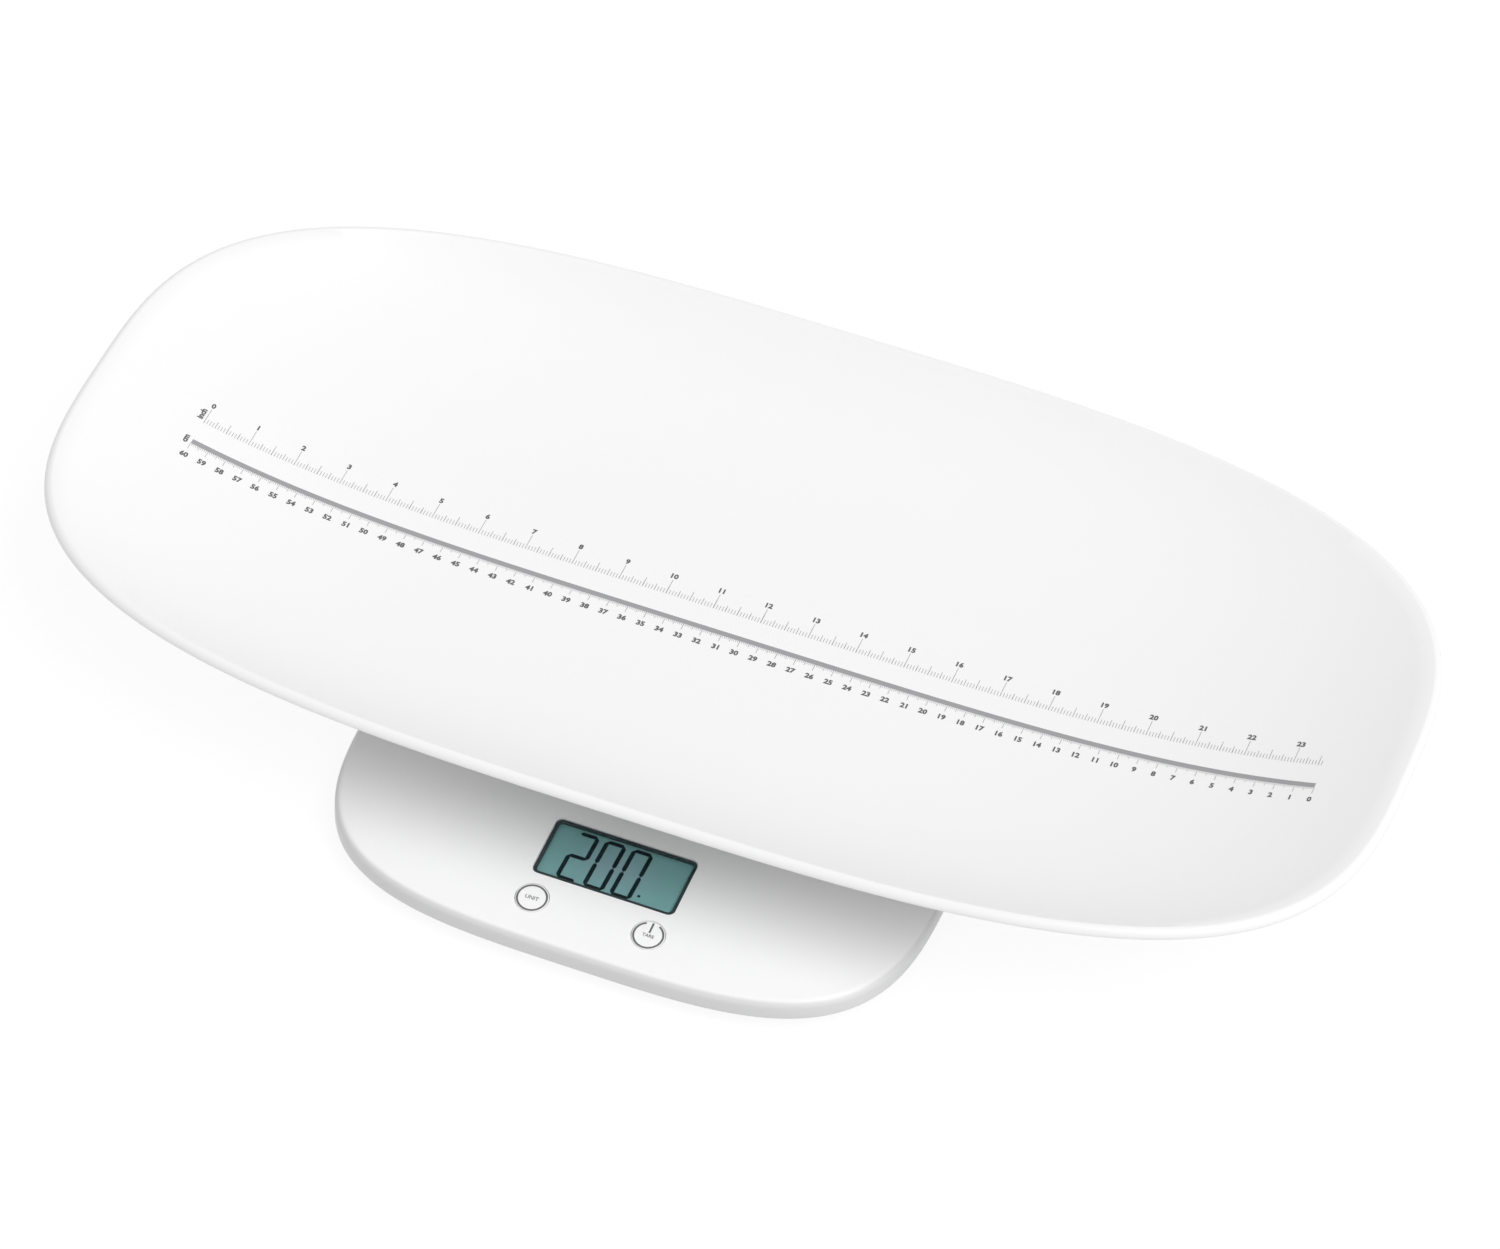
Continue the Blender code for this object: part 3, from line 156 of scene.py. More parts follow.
def count(name, description, default):
    return bpy.props.IntProperty(name=name, description=description, default=default, min=1)


def colour(name, description, default):
    return bpy.props.FloatVectorProperty(
        name=name, description=description, default=default, subtype="COLOR", min=0, max=1
    )


class TraySizes(bpy.types.PropertyGroup):
    dish_depth: length("Dish depth", "How far the dish lies below its rim", 37.5 * MM)
    dish_curve: number("Dish curve", "How late the dish turns up towards its rim", 4.0)
    outline_curve: number("Outline curve", "2 is an ellipse, and more is squarer", 3.15)
    wall: length("Wall", "Thickness of the plastic", 3.0 * MM)
    rim_radius: length("Rim radius", "Roundness of the rim", 4.0 * MM)
    lip_depth: length("Lip depth", "Height of the turned-down lip", 5.0 * MM)
    lip_edge: length("Lip edge", "Roundness of the lip's lower edge", 0.9 * MM)
    rings: count("Rings", "Rings from the middle of the dish to its rim", 40)
    segments: count("Segments", "Points round the outline", 320)
    boss_clearance: length("Boss clearance", "Gap round each peg", 0.5 * MM)
    boss_wall: length("Boss wall", "Wall of the sockets under the tray", 4.0 * MM)
    boss_edge: length("Boss edge", "Roundness of the sockets' lower edges", 0.6 * MM)
    plastic: colour("Plastic", "Colour of the tray", (0.9, 0.9, 0.9))


class RulerSizes(bpy.types.PropertyGroup):
    line_before_middle: length("Line place", "How far the line lies before the middle", 14.9 * MM)
    line_width: length("Line width", "Thickness of the long line", 3.0 * MM)
    right_end: length("Right end", "Where the centimetres start, right of the middle", 308.5 * MM)
    centimetres: count("Centimetres", "Length of the ruler", 60)
    inches: count("Inches", "Last numbered inch", 23)
    inch_row: length("Inch row", "How far the inch marks start behind the line", 14.4 * MM)
    mark_width: length("Mark width", "Thickness of the fine marks", 0.28 * MM)
    number_height: length("Number height", "Height of the printed numbers", 3.2 * MM)
    number_weight: length("Number weight", "How much bolder the numbers are", 0.2 * MM)
    number_drop: length("Number drop", "Centimetre numbers before the long line", 10.0 * MM)
    number_rise: length("Number rise", "Inch numbers behind the inch row", 13.0 * MM)
    word_gap: length("Word gap", "How far left of the ruler the unit words stand", 3.2 * MM)
    inch_word: length("Inch word", "How far it stands behind the long line", 19.6 * MM)
    ink_thickness: length("Ink thickness", "Thickness of the print", 0.03 * MM)
    line_ink: colour("Line ink", "Colour of the long line", (0.33, 0.33, 0.34))
    number_ink: colour("Number ink", "Colour of the numbers and marks", (0.1, 0.1, 0.105))


class BaseSizes(bpy.types.PropertyGroup):
    edge_height: length("Edge height", "Height of the deck at its edge", 20.0 * MM)
    deck_rise: length("Deck rise", "How much higher the deck is in its middle", 7.0 * MM)
    deck_curve: number("Deck curve", "How late the deck falls towards its edge", 3.0)
    outline_curve: number("Outline curve", "2 is an ellipse, and more is squarer", 3.46)
    straight: length("Straight sides", "Straight stretch of the two sides", 100.0 * MM)
    fillet: length("Fillet", "Roundness of the deck's edge", 4.0 * MM)
    wall: length("Wall", "Thickness of the covers", 2.5 * MM)
    gap: length("Gap", "Clearance between pieces", 0.3 * MM)
    rings: count("Rings", "Rings from the middle of the deck to its edge", 36)
    segments: count("Segments", "Points round the outline", 288)
    seat_height: length("Seat height", "Height of the four seats", 28.0 * MM)
    seat_radius: length("Seat radius", "Radius of the four seats", 16.0 * MM)
    peg_radius: length("Peg radius", "Radius of the pegs that hold the tray", 8.0 * MM)
    peg_length: length("Peg length", "Height of the pegs above their seats", 12.0 * MM)
    peg_nose: length("Peg nose", "Roundness of the pegs' ends", 2.0 * MM)
    soft_edge: length("Soft edge", "Roundness of the seats and their rings", 0.5 * MM)
    plastic: colour("Plastic", "Colour of the covers", (0.93, 0.93, 0.93))
    # Painted shade: the sides are the same white plastic as the deck, greyed below a height and fading out up the
    # fillet to stand in for the shade on them
    side_plastic: colour("Side", "Colour of the band round the covers", (0.72, 0.72, 0.725))
    band_height: length("Band height", "Where the grey of the sides starts to fade", 18.7 * MM)
    skirt_round: length("Skirt", "Roundness of the upper cover's lower edge", 2.0 * MM)
    chamfer: length("Chamfer", "Bevel round the underside", 2.0 * MM)
    rim_height: length("Rim height", "How far the lower cover reaches up inside", 7.0 * MM)


class DisplaySizes(bpy.types.PropertyGroup):
    window_length: length("Window length", "Length of the display window", WINDOW_SIZE[0])
    window_width: length("Window width", "Width of the display window", WINDOW_SIZE[1])
    window_corner: length("Window corner", "Roundness of the window's corners", 3.4 * MM)
    ledge: length("Ledge", "How far the window lies on the cover", 1.0 * MM)
    border: length("Border", "Width of the dark line round the window", 1.6 * MM)
    reading: bpy.props.StringProperty(name="Reading", description="Figures shown", default="200")
    digit_width: length("Digit width", "Between the middles of a digit's upright bars", 9.0 * MM)
    digit_height: length("Digit height", "Between its lowest and highest bars", 29.2 * MM)
    digit_pitch: length("Digit pitch", "From one digit to the next", 14.1 * MM)
    digit_bar: length("Digit bar", "Thickness of a digit's bars", 2.2 * MM)
    first_digit: length("First digit", "Place of the first digit's middle", -19.6 * MM)
    digit_rise: length("Digit rise", "Place of the digits' middle", -0.4 * MM)
    point_size: length("Point size", "Side of the point", 1.5 * MM)
    point_place: length("Point place", "How far right of the middle the point lies", 17.2 * MM)
    point_rise: length("Point rise", "How far the point lies above the lowest bars", 3.4 * MM)
    slant: number("Slant", "How much the digits lean", 0.03)
    crystal: colour("Crystal", "Colour of the display", (0.23, 0.5, 0.5))
    bar_ink: colour("Bars", "Colour of the digits", (0.003, 0.014, 0.018))


class ButtonSizes(bpy.types.PropertyGroup):
    radius: length("Radius", "Radius of the two buttons", 8.3 * MM)
    ring_radius: length("Ring radius", "Radius of the printed ring", 7.3 * MM)
    edge: length("Edge", "Roundness of the caps' edges", 0.35 * MM)
    proud: length("Proud", "How far the caps stand over the panel", 0.1 * MM)
    flange: length("Flange", "Reach of the flange that holds a cap", 1.5 * MM)
    flange_depth: length("Flange depth", "How far it lies under the panel", 3.9 * MM)
    flange_thickness: length("Flange thickness", "Thickness of the flange", 0.8 * MM)
    stem_radius: length("Stem radius", "Radius of the stem under a cap", 2.5 * MM)
    ring_line: length("Ring line", "Thickness of the printed ring and bar", 1.0 * MM)
    ring_gap: number("Ring gap", "Opening on either side of the bar, in degrees", 27.0)
    bar_height: length("Bar height", "Height of the printed bar", 6.0 * MM)
    bar_rise: length("Bar rise", "How far the bar's middle lies above the cap's", 4.5 * MM)
    ink_thickness: length("Ink thickness", "Thickness of the print", 0.03 * MM)
    word_height: length("Word height", "Height of the small words", 2.2 * MM)
    ink: colour("Ink", "Colour of the symbols", (0.13, 0.13, 0.14))


class UndersideSizes(bpy.types.PropertyGroup):
    foot_radius: length("Foot radius", "Radius of the four feet", 17.0 * MM)
    foot_room: length("Foot room", "Gap round each foot", 1.0 * MM)
    flange_thickness: length("Flange", "Thickness of the flange inside", 1.2 * MM)
    spigot_radius: length("Spigot radius", "Radius of the foot's spigot", 5.0 * MM)
    spigot_height: length("Spigot height", "Height of the foot's spigot", 0.5 * MM)
    screws: count("Screws", "Screws that hold the covers together", 6)
    screw_radius: length("Screw radius", "Radius of the screws", 1.4 * MM)
    screw_head: length("Screw head", "Height of a screw's head", 2.0 * MM)
    well_wall: length("Well wall", "Wall of the battery well", 1.5 * MM)
    tab_width: length("Tab width", "Width of the door's hinge tabs", 8.0 * MM)
    tab_length: length("Tab length", "Reach of the hinge tabs", 1.5 * MM)
    tab_thickness: length("Tab thickness", "Thickness of the hinge tabs", 1.0 * MM)
    tab_spacing: length("Tab spacing", "Between the two hinge tabs", 32.0 * MM)
    latch_width: length("Latch width", "Width of the door's latch", 14.0 * MM)
    latch_length: length("Latch length", "Length of the slots beside the latch", 8.0 * MM)
    latch_slot: length("Latch slot", "Width of the slots beside the latch", 1.0 * MM)
    grips: count("Grips", "Grip lines on the latch", 4)
    first_grip: length("First grip", "From the door's edge to the first grip line", 1.8 * MM)
    grip_pitch: length("Grip pitch", "From one grip line to the next", 1.5 * MM)
    grip_width: length("Grip width", "Width of a grip line", 0.7 * MM)
    grip_depth: length("Grip depth", "Depth of a grip line", 0.45 * MM)
    arrow_radius: length("Arrow", "Radius of the arrow head", 4.2 * MM)
    arrow_place: length("Arrow place", "From the door's edge to the arrow", 14.5 * MM)
    arrow_depth: length("Arrow depth", "Depth of the arrow", 0.55 * MM)
    scoop_radius: length("Scoop", "Radius of the finger scoop before the door", 8.0 * MM)
    scoop_floor: length("Scoop floor", "Radius of the scoop's floor", 6.0 * MM)
    scoop_depth: length("Scoop depth", "Depth of the scoop", 1.2 * MM)
    tread_groove: length("Tread groove", "Half width of the grooves in the foot pads", 0.7 * MM)
    tread_depth: length("Tread depth", "Depth of the grooves in the foot pads", 0.5 * MM)
    wire_radius: length("Spring wire", "Radius of the springs' wire", 0.35 * MM)
    spring_turns: count("Spring turns", "Turns of each battery spring", 4)
    plastic: colour("Plastic", "Colour of the lower cover and door", (0.8, 0.8, 0.8))
    foot_plastic: colour("Foot", "Colour of the feet", (0.5, 0.5, 0.51))
    rubber: colour("Rubber", "Colour of the foot pads", (0.06, 0.06, 0.062))


class StageSizes(bpy.types.PropertyGroup):
    azimuth: number("Azimuth", "Where the camera stands round the object, in degrees", 17.656)
    elevation: number("Elevation", "How high the camera stands, in degrees", 46.256)
    roll: number("Roll", "How far the camera leans, in degrees", 4.511)
    distance: length("Distance", "From the camera to the point that it looks at", 3.4231)
    focal_pixels: number("Focal length", "In pixels of the photograph", 6789.0)
    photo_width: number("Photograph width", "In pixels", 1500.0)
    across: number("Across", "How far left of the middle the object shows, in pixels", 18.44)
    down: number("Down", "How far below the middle the object shows, in pixels", 44.55)
    target_height: length("Target height", "Height of the point that it looks at", 10 * MM)
    floor_size: length("Floor size", "Side of the floor", 40.0)
    sky: number("Sky", "Strength of the even light", 0.59)
    sun: number("Sun", "Strength of the sun", 1.65)
    sun_tilt: number("Sun tilt", "How far the sun leans to the front or back, in degrees", 10.0)
    sun_lean: number("Sun lean", "How far the sun leans to the side, in degrees", 34.0)
    sun_width: number("Sun width", "How wide and soft the sun is, in degrees", 45.0)


def alone(piece):
    """Make one object the selected and active one."""
    bpy.ops.object.select_all(action="DESELECT")
    piece.select_set(True)
    bpy.context.view_layer.objects.active = piece


def added(name):
    """Name the object that an operator has just added."""
    piece = bpy.context.object
    piece.name = name
    piece.data.name = name
    return piece


def settled(piece, matrix=None):
    """Put an object's place into its mesh, after one more move where there is one."""
    alone(piece)
    if matrix:
        piece.matrix_world = matrix @ piece.matrix_world
    bpy.ops.object.transform_apply(location=True, rotation=True, scale=True)
    return piece


def modified(piece, kind, **settings):
    """Add a modifier with its settings, and apply it."""
    alone(piece)
    bpy.ops.object.modifier_add(type=kind)
    step = piece.modifiers[-1]
    for name, value in settings.items():
        setattr(step, name, value)
    bpy.ops.object.modifier_apply(modifier=step.name)
    return piece


def joined(piece, other, operation):
    """Join another solid to a piece, or cut it away, and take that solid out of the scene."""
    modified(piece, "BOOLEAN", operation=operation, solver="EXACT", object=other)
    bpy.data.objects.remove(other)
    return piece


def merged(name, pieces):
    """Make several objects one, without changing their faces."""
    bpy.ops.object.select_all(action="DESELECT")
    for piece in pieces:
        piece.select_set(True)
    bpy.context.view_layer.objects.active = pieces[0]
    if len(pieces) > 1:
        bpy.ops.object.join()
    return added(name)


def copied(piece, name, move):
    """A copy with a mesh of its own, moved by a vector."""
    alone(piece)
    bpy.ops.object.duplicate()
    made = added(name)
    bpy.ops.transform.translate(value=move)
    return settled(made)


def spread(first, prefix, places):
    """A first piece, then its copies at the other places, named after them."""
    start = next(iter(places.values()))
    for name, place in places.items():
        move = (place.x - start.x, place.y - start.y, 0)
        yield name, first if place is start else copied(first, f"{prefix}_{name}", move)


def ready(piece, body, look, slot, angle=35.0):
    """Smooth a finished piece, give it its material, and let it ride on its body."""
    alone(piece)
    bpy.ops.object.shade_smooth_by_angle(angle=math.radians(angle))
    piece.data.materials.clear()
    piece.data.materials.append(look)
    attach(piece, body)
    return piece


def select_edges(piece, wanted):
    """Select a mesh's edges by a test of their two ends, and stay in edit mode."""
    alone(piece)
    bpy.ops.object.mode_set(mode="EDIT")
    bpy.ops.mesh.select_mode(type="EDGE")
    bpy.ops.mesh.select_all(action="DESELECT")
    bpy.ops.object.mode_set(mode="OBJECT")
    points = piece.data.vertices
    for edge in piece.data.edges:
        edge.select = wanted(points[edge.vertices[0]].co, points[edge.vertices[1]].co)
    bpy.ops.object.mode_set(mode="EDIT")


def bevelled(piece, wanted, offset, segments):
    """Round the edges that a test of their two ends picks."""
    select_edges(piece, wanted)
    bpy.ops.mesh.bevel(offset=offset, segments=segments, profile=0.5, affect="EDGES")
    bpy.ops.object.mode_set(mode="OBJECT")


def without_faces(piece, unwanted):
    """Delete the faces that a test picks."""
    alone(piece)
    bpy.ops.object.mode_set(mode="EDIT")
    bpy.ops.mesh.select_mode(type="FACE")
    bpy.ops.mesh.select_all(action="DESELECT")
    bpy.ops.object.mode_set(mode="OBJECT")
    for face in piece.data.polygons:
        face.select = unwanted(face)
    bpy.ops.object.mode_set(mode="EDIT")
    bpy.ops.mesh.delete(type="FACE")
    bpy.ops.object.mode_set(mode="OBJECT")
    return piece


def outward(piece, merge=False):
    """Turn all faces outwards, after the doubles are merged where there are any."""
    alone(piece)
    bpy.ops.object.mode_set(mode="EDIT")
    bpy.ops.mesh.select_all(action="SELECT")
    if merge:
        bpy.ops.mesh.remove_doubles(threshold=0.001 * MM)
    bpy.ops.mesh.normals_make_consistent(inside=False)
    bpy.ops.object.mode_set(mode="OBJECT")
    return piece


def block(name, size, low, high, place=(0, 0), corner=0.0, edge=0.0, steps=6):
    """A box between two heights, with its upright edges and then its top edges rounded."""
    bpy.ops.object.select_all(action="DESELECT")
    bpy.ops.mesh.primitive_cube_add(size=1, location=(*place, (low + high) / 2))
    piece = added(name)
    piece.scale = (size[0], size[1], high - low)
    settled(piece)
    if corner:
        bevelled(piece, lambda a, b: abs(a.z - b.z) > (high - low) / 2, corner, steps)
    if edge:
        bevelled(piece, lambda a, b: min(a.z, b.z) > high - edge / 2, edge, 3)
    return piece


def turned(name, outline, sides, place=(0, 0), ring=False):
    """A turned solid: a circle drawn on through (radius, height) points in edit mode.

    A ring's outline is closed and goes round its bore.
    """
    radius, height = outline[0]
    fill = "NOTHING" if ring else "NGON"
    bpy.ops.object.select_all(action="DESELECT")
    bpy.ops.mesh.primitive_circle_add(
        vertices=sides, radius=radius, fill_type=fill, location=(*place, height)
    )
    piece = added(name)
    bpy.ops.object.mode_set(mode="EDIT")
    bpy.ops.mesh.select_all(action="SELECT")
    for next_radius, next_height in [*outline[1:], *(outline[:1] if ring else [])]:
        move = {"value": (0, 0, next_height - height)}
        bpy.ops.mesh.extrude_region_move(TRANSFORM_OT_translate=move)
        grow = next_radius / radius
        bpy.ops.transform.resize(
            value=(grow, grow, 1), center_override=(*place, next_height)
        )
        radius, height = next_radius, next_height
    bpy.ops.object.mode_set(mode="OBJECT")
    settled(piece)
    return outward(piece, merge=ring)


def arc(radius, height, bend, start, end, steps=5):
    """Outline points of a rounded edge, from one angle to another, in degrees."""
    points = []
    for step in range(steps + 1):
        angle = math.radians(start + (end - start) * step / steps)
        points.append((radius + bend * math.cos(angle), height + bend * math.sin(angle)))
    return points


def widened(size, by):
    """A length and a width, both longer by the same amount."""
    return size[0] + by, size[1] + by


def ringed(outer, points):
    """Rings round an outline, from (further out, height) points."""
    return [(*widened(outer, out), height) for out, height in points]


def shell_rings(surface, sizes, bend, top, steps, skirt):
    """Rings of a shell: its upper side, rim and skirt, and the way back one wall further in."""
    upper = []
    for step in range(sizes.rings + 1):
        share = step / sizes.rings
        height = surface.height_at(share)
        upper.append((surface.inner[0] * share, surface.inner[1] * share, height))
    rim, back = (
        ringed(surface.outer, arc(-bend, top - bend, radius, 90, 0, pieces)[1:])
        for radius, pieces in zip((bend, bend - sizes.wall), steps)
    )
    under = [(x, y, z - sizes.wall) for x, y, z in reversed(upper)]
    return [*upper, *rim, *skirt, *reversed(back), *under]


def shelled(name, profile, sizes, middle, straight=0.0):
    """A closed shell: a ball whose rings are set out to (half X, half Y, height) outlines.

    The first ring is the middle of its top and the last the middle of its underside. A straight
    stretch parts the two ends of every ring.
    """
    last = len(profile) - 1
    curve, segments = sizes.outline_curve, sizes.segments
    bpy.ops.object.select_all(action="DESELECT")
    bpy.ops.mesh.primitive_uv_sphere_add(
        segments=segments, ring_count=last, radius=1, rotation=(0, 0, math.pi / segments)
    )
    piece = settled(added(name))
    for vert in piece.data.vertices:
        ring = round(math.acos(max(-1.0, min(1.0, vert.co.z))) / math.pi * last)
        half_x, half_y, height = profile[ring]
        if ring in (0, last):
            vert.co = (middle.x, middle.y, height)
            continue
        cos, sin = vert.co.xy.normalized()
        reach = (abs(cos) ** curve + abs(sin) ** curve) ** (-1 / curve)
        x = half_x * reach * cos
        y = half_y * reach * sin + math.copysign(straight / 2, sin)
        vert.co = (middle.x + x, middle.y + y, height)
    return piece


def word(name, text, height, bold=0.0):
    """Printed text as a flat mesh, centred on the origin."""
    bpy.ops.object.select_all(action="DESELECT")
    bpy.ops.object.text_add()
    letters = bpy.context.object
    letters.data.body = text
    letters.data.size = height / 0.73
    letters.data.offset = bold
    letters.data.resolution_u = 2
    letters.data.align_x = "CENTER"
    letters.data.align_y = "CENTER"
    bpy.ops.object.convert(target="MESH")
    piece = added(name)
    middle = sum((Vector(corner) for corner in piece.bound_box), Vector()) / 8
    piece.location = -middle
    return settled(piece)


def printed(piece, ground, thickness):
    """Lay a flat mesh down on a surface, as a film of ink."""
    modified(
        piece,
        "SHRINKWRAP",
        target=ground,
        wrap_method="PROJECT",
        wrap_mode="ABOVE_SURFACE",
        use_project_z=True,
        use_negative_direction=True,
        use_positive_direction=False,
        offset=thickness,
    )
    return modified(piece, "SOLIDIFY", thickness=thickness, offset=1)


def node_tree(name):
    look = bpy.data.materials.new(name)
    look.use_nodes = True
    nodes = look.node_tree.nodes
    shader = nodes["Principled BSDF"]
    return look, nodes, look.node_tree.links, shader


def mottle(nodes, links, coordinates, scale, detail=2.0):
    """A noise pattern in object space, about 1/scale metres coarse."""
    noise = nodes.new("ShaderNodeTexNoise")
    noise.inputs["Scale"].default_value = scale
    noise.inputs["Detail"].default_value = detail
    links.new(coordinates.outputs["Object"], noise.inputs["Vector"])
    return noise.outputs["Fac"]


def between(nodes, links, factor, low, high):
    """Turn a 0 to 1 pattern into a narrow range of values."""
    ranged = nodes.new("ShaderNodeMapRange")
    ranged.inputs["From Min"].default_value = 0.3
    ranged.inputs["From Max"].default_value = 0.7
    ranged.inputs["To Min"].default_value = low
    ranged.inputs["To Max"].default_value = high
    links.new(factor, ranged.inputs["Value"])
    return ranged.outputs["Result"]


def faded(nodes, links, coordinates, upper, lower, low, high):
    """Painted shade: another colour below one height, with a soft change up to a second height."""
    split = nodes.new("ShaderNodeSeparateXYZ")
    rise = nodes.new("ShaderNodeMapRange")
    rise.interpolation_type = "SMOOTHSTEP"
    rise.inputs["From Min"].default_value = low
    rise.inputs["From Max"].default_value = high
    mixed = nodes.new("ShaderNodeMix")
    mixed.data_type = "RGBA"
    mixed.inputs["A"].default_value = (*lower, 1)
    links.new(coordinates.outputs["Object"], split.inputs["Vector"])
    links.new(split.outputs["Z"], rise.inputs["Value"])
    links.new(rise.outputs["Result"], mixed.inputs["Factor"])
    links.new(upper, mixed.inputs["B"])
    return mixed.outputs["Result"]


def finish(
    name, shade, rough, spread=0.06, change=0.03, grain=900.0, depth=0.01, metal=0.0, fade=None
):
    """A moulded, painted or rolled surface: mottled colour, uneven gloss and a fine texture.

    A fade is a colour of painted shade and the two heights between which it ends.
    """
    look, nodes, links, shader = node_tree(name)
    coordinates = nodes.new("ShaderNodeTexCoord")
    broad = mottle(nodes, links, coordinates, grain / 30)
    fine = mottle(nodes, links, coordinates, grain, detail=4.0)
    tint = nodes.new("ShaderNodeMix")
    tint.data_type = "RGBA"
    tint.inputs["A"].default_value = (*(channel * (1 - change) for channel in shade), 1)
    tint.inputs["B"].default_value = (*(min(1, channel * (1 + change)) for channel in shade), 1)
    links.new(broad, tint.inputs["Factor"])
    paint = tint.outputs["Result"]
    if fade:
        # Painted shade below a height, fading out above it
        paint = faded(nodes, links, coordinates, paint, *fade)
    links.new(paint, shader.inputs["Base Color"])
    gloss = between(nodes, links, fine, rough - spread / 2, rough + spread / 2)
    links.new(gloss, shader.inputs["Roughness"])
    bump = nodes.new("ShaderNodeBump")
    bump.inputs["Strength"].default_value = 1.0
    bump.inputs["Distance"].default_value = depth * MM
    links.new(fine, bump.inputs["Height"])
    links.new(bump.outputs["Normal"], shader.inputs["Normal"])
    shader.inputs["Metallic"].default_value = metal
    return look


def cover_finish(name, shade, fade=None):
    """The smooth white plastic of the tray and the upper cover, with painted shade on the cover's sides where a
    fade is given.
    """
    return finish(name, shade, 0.34, change=0.004, grain=1500, depth=0.0015, fade=fade)


def polished(name, shade, rough, spread, change, grain, depth):
    """The finish of bare metal."""
    return finish(name, shade, rough, spread, change, grain, depth, metal=1.0)


class Dish:
    """The tray's upper surface, and places along it."""

    def __init__(self, sizes):
        size = node_size("tray_shell")
        self.sizes = sizes
        self.outer = (size.x / 2, size.y / 2)
        self.inner = widened(self.outer, -sizes.rim_radius)

    def height_at(self, share):
        return TRAY_TOP - self.sizes.dish_depth * (1 - share**self.sizes.dish_curve)

    def height(self, x, y):
        curve = self.sizes.outline_curve
        share = (abs(x / self.inner[0]) ** curve + abs(y / self.inner[1]) ** curve) ** (1 / curve)
        return self.height_at(share)

    def places_along(self, y):
        """Two matching lists along a line of the dish: the way covered from the middle, and X."""
        step = 0.5 * MM
        ways, places = [0.0], [0.0]
        while places[-1] < self.inner[0] * 0.95:
            x = places[-1]
            rise = self.height(x + step, y) - self.height(x, y)
            ways.append(ways[-1] + math.hypot(step, rise))
            places.append(x + step)
        return ways, places


def along_dish(ways, places, way):
    """X of a place that lies so far along the dish from its middle."""
    step = bisect.bisect_left(ways, abs(way))
    share = (abs(way) - ways[step - 1]) / (ways[step] - ways[step - 1]) if step else 0.0
    x = places[step - 1] + share * (places[step] - places[step - 1]) if step else 0.0
    return math.copysign(x, way)


class AddTray(bpy.types.Operator):
    """Build the dished tray, with the sockets under it"""

    bl_idname = "baby_scale.add_tray"
    bl_label = "Tray"

    def execute(self, context):
        sizes = context.scene.scale_tray
        dish = Dish(sizes)
        foot = TRAY_TOP - sizes.lip_depth
        edge = sizes.lip_edge
        lip = ringed(dish.outer, arc(-edge, foot + edge, edge, 0, -180, 6))
        lip.append((*widened(dish.outer, -sizes.wall), foot + edge))
        rings = shell_rings(dish, sizes, sizes.rim_radius, TRAY_TOP, (8, 4), lip)
        tray = shelled("tray_dish", rings, sizes, TRAY_MIDDLE)
        plastic = cover_finish("tray_plastic", sizes.plastic)
        ready(tray, "tray", plastic, "tray_plastic")
        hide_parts("tray_shell")
        self.add_sockets(sizes, dish, plastic, context.scene.scale_base)
        return {"FINISHED"}

    def add_sockets(self, sizes, dish, plastic, base):
        """Round sockets that drop over the base's pegs and press on the soft rings."""
        inner = base.peg_radius + sizes.boss_clearance
        outer = inner + sizes.boss_wall
        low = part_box(f"tray_seat_pad_{QUARTERS[0]}")[1].z + base.gap
        places = places_of("tray_seat_pad")
        x, y = places[QUARTERS[0]]
        high = dish.height(x - TRAY_MIDDLE.x, y - TRAY_MIDDLE.y) - sizes.wall / 2
        edge = sizes.boss_edge
        outline = [
            (inner, low + edge),
            *arc(inner + edge, low + edge, edge, 180, 270),
            *arc(outer - edge, low + edge, edge, 270, 360),
            (outer, high - 2 * sizes.wall),
            (outer + sizes.wall, high),
            (inner, high),
        ]
        first = turned("tray_socket_" + QUARTERS[0], outline, 72, (x, y), ring=True)
        for _, socket in spread(first, "tray_socket", places):
            ready(socket, "tray", plastic, "tray_plastic")


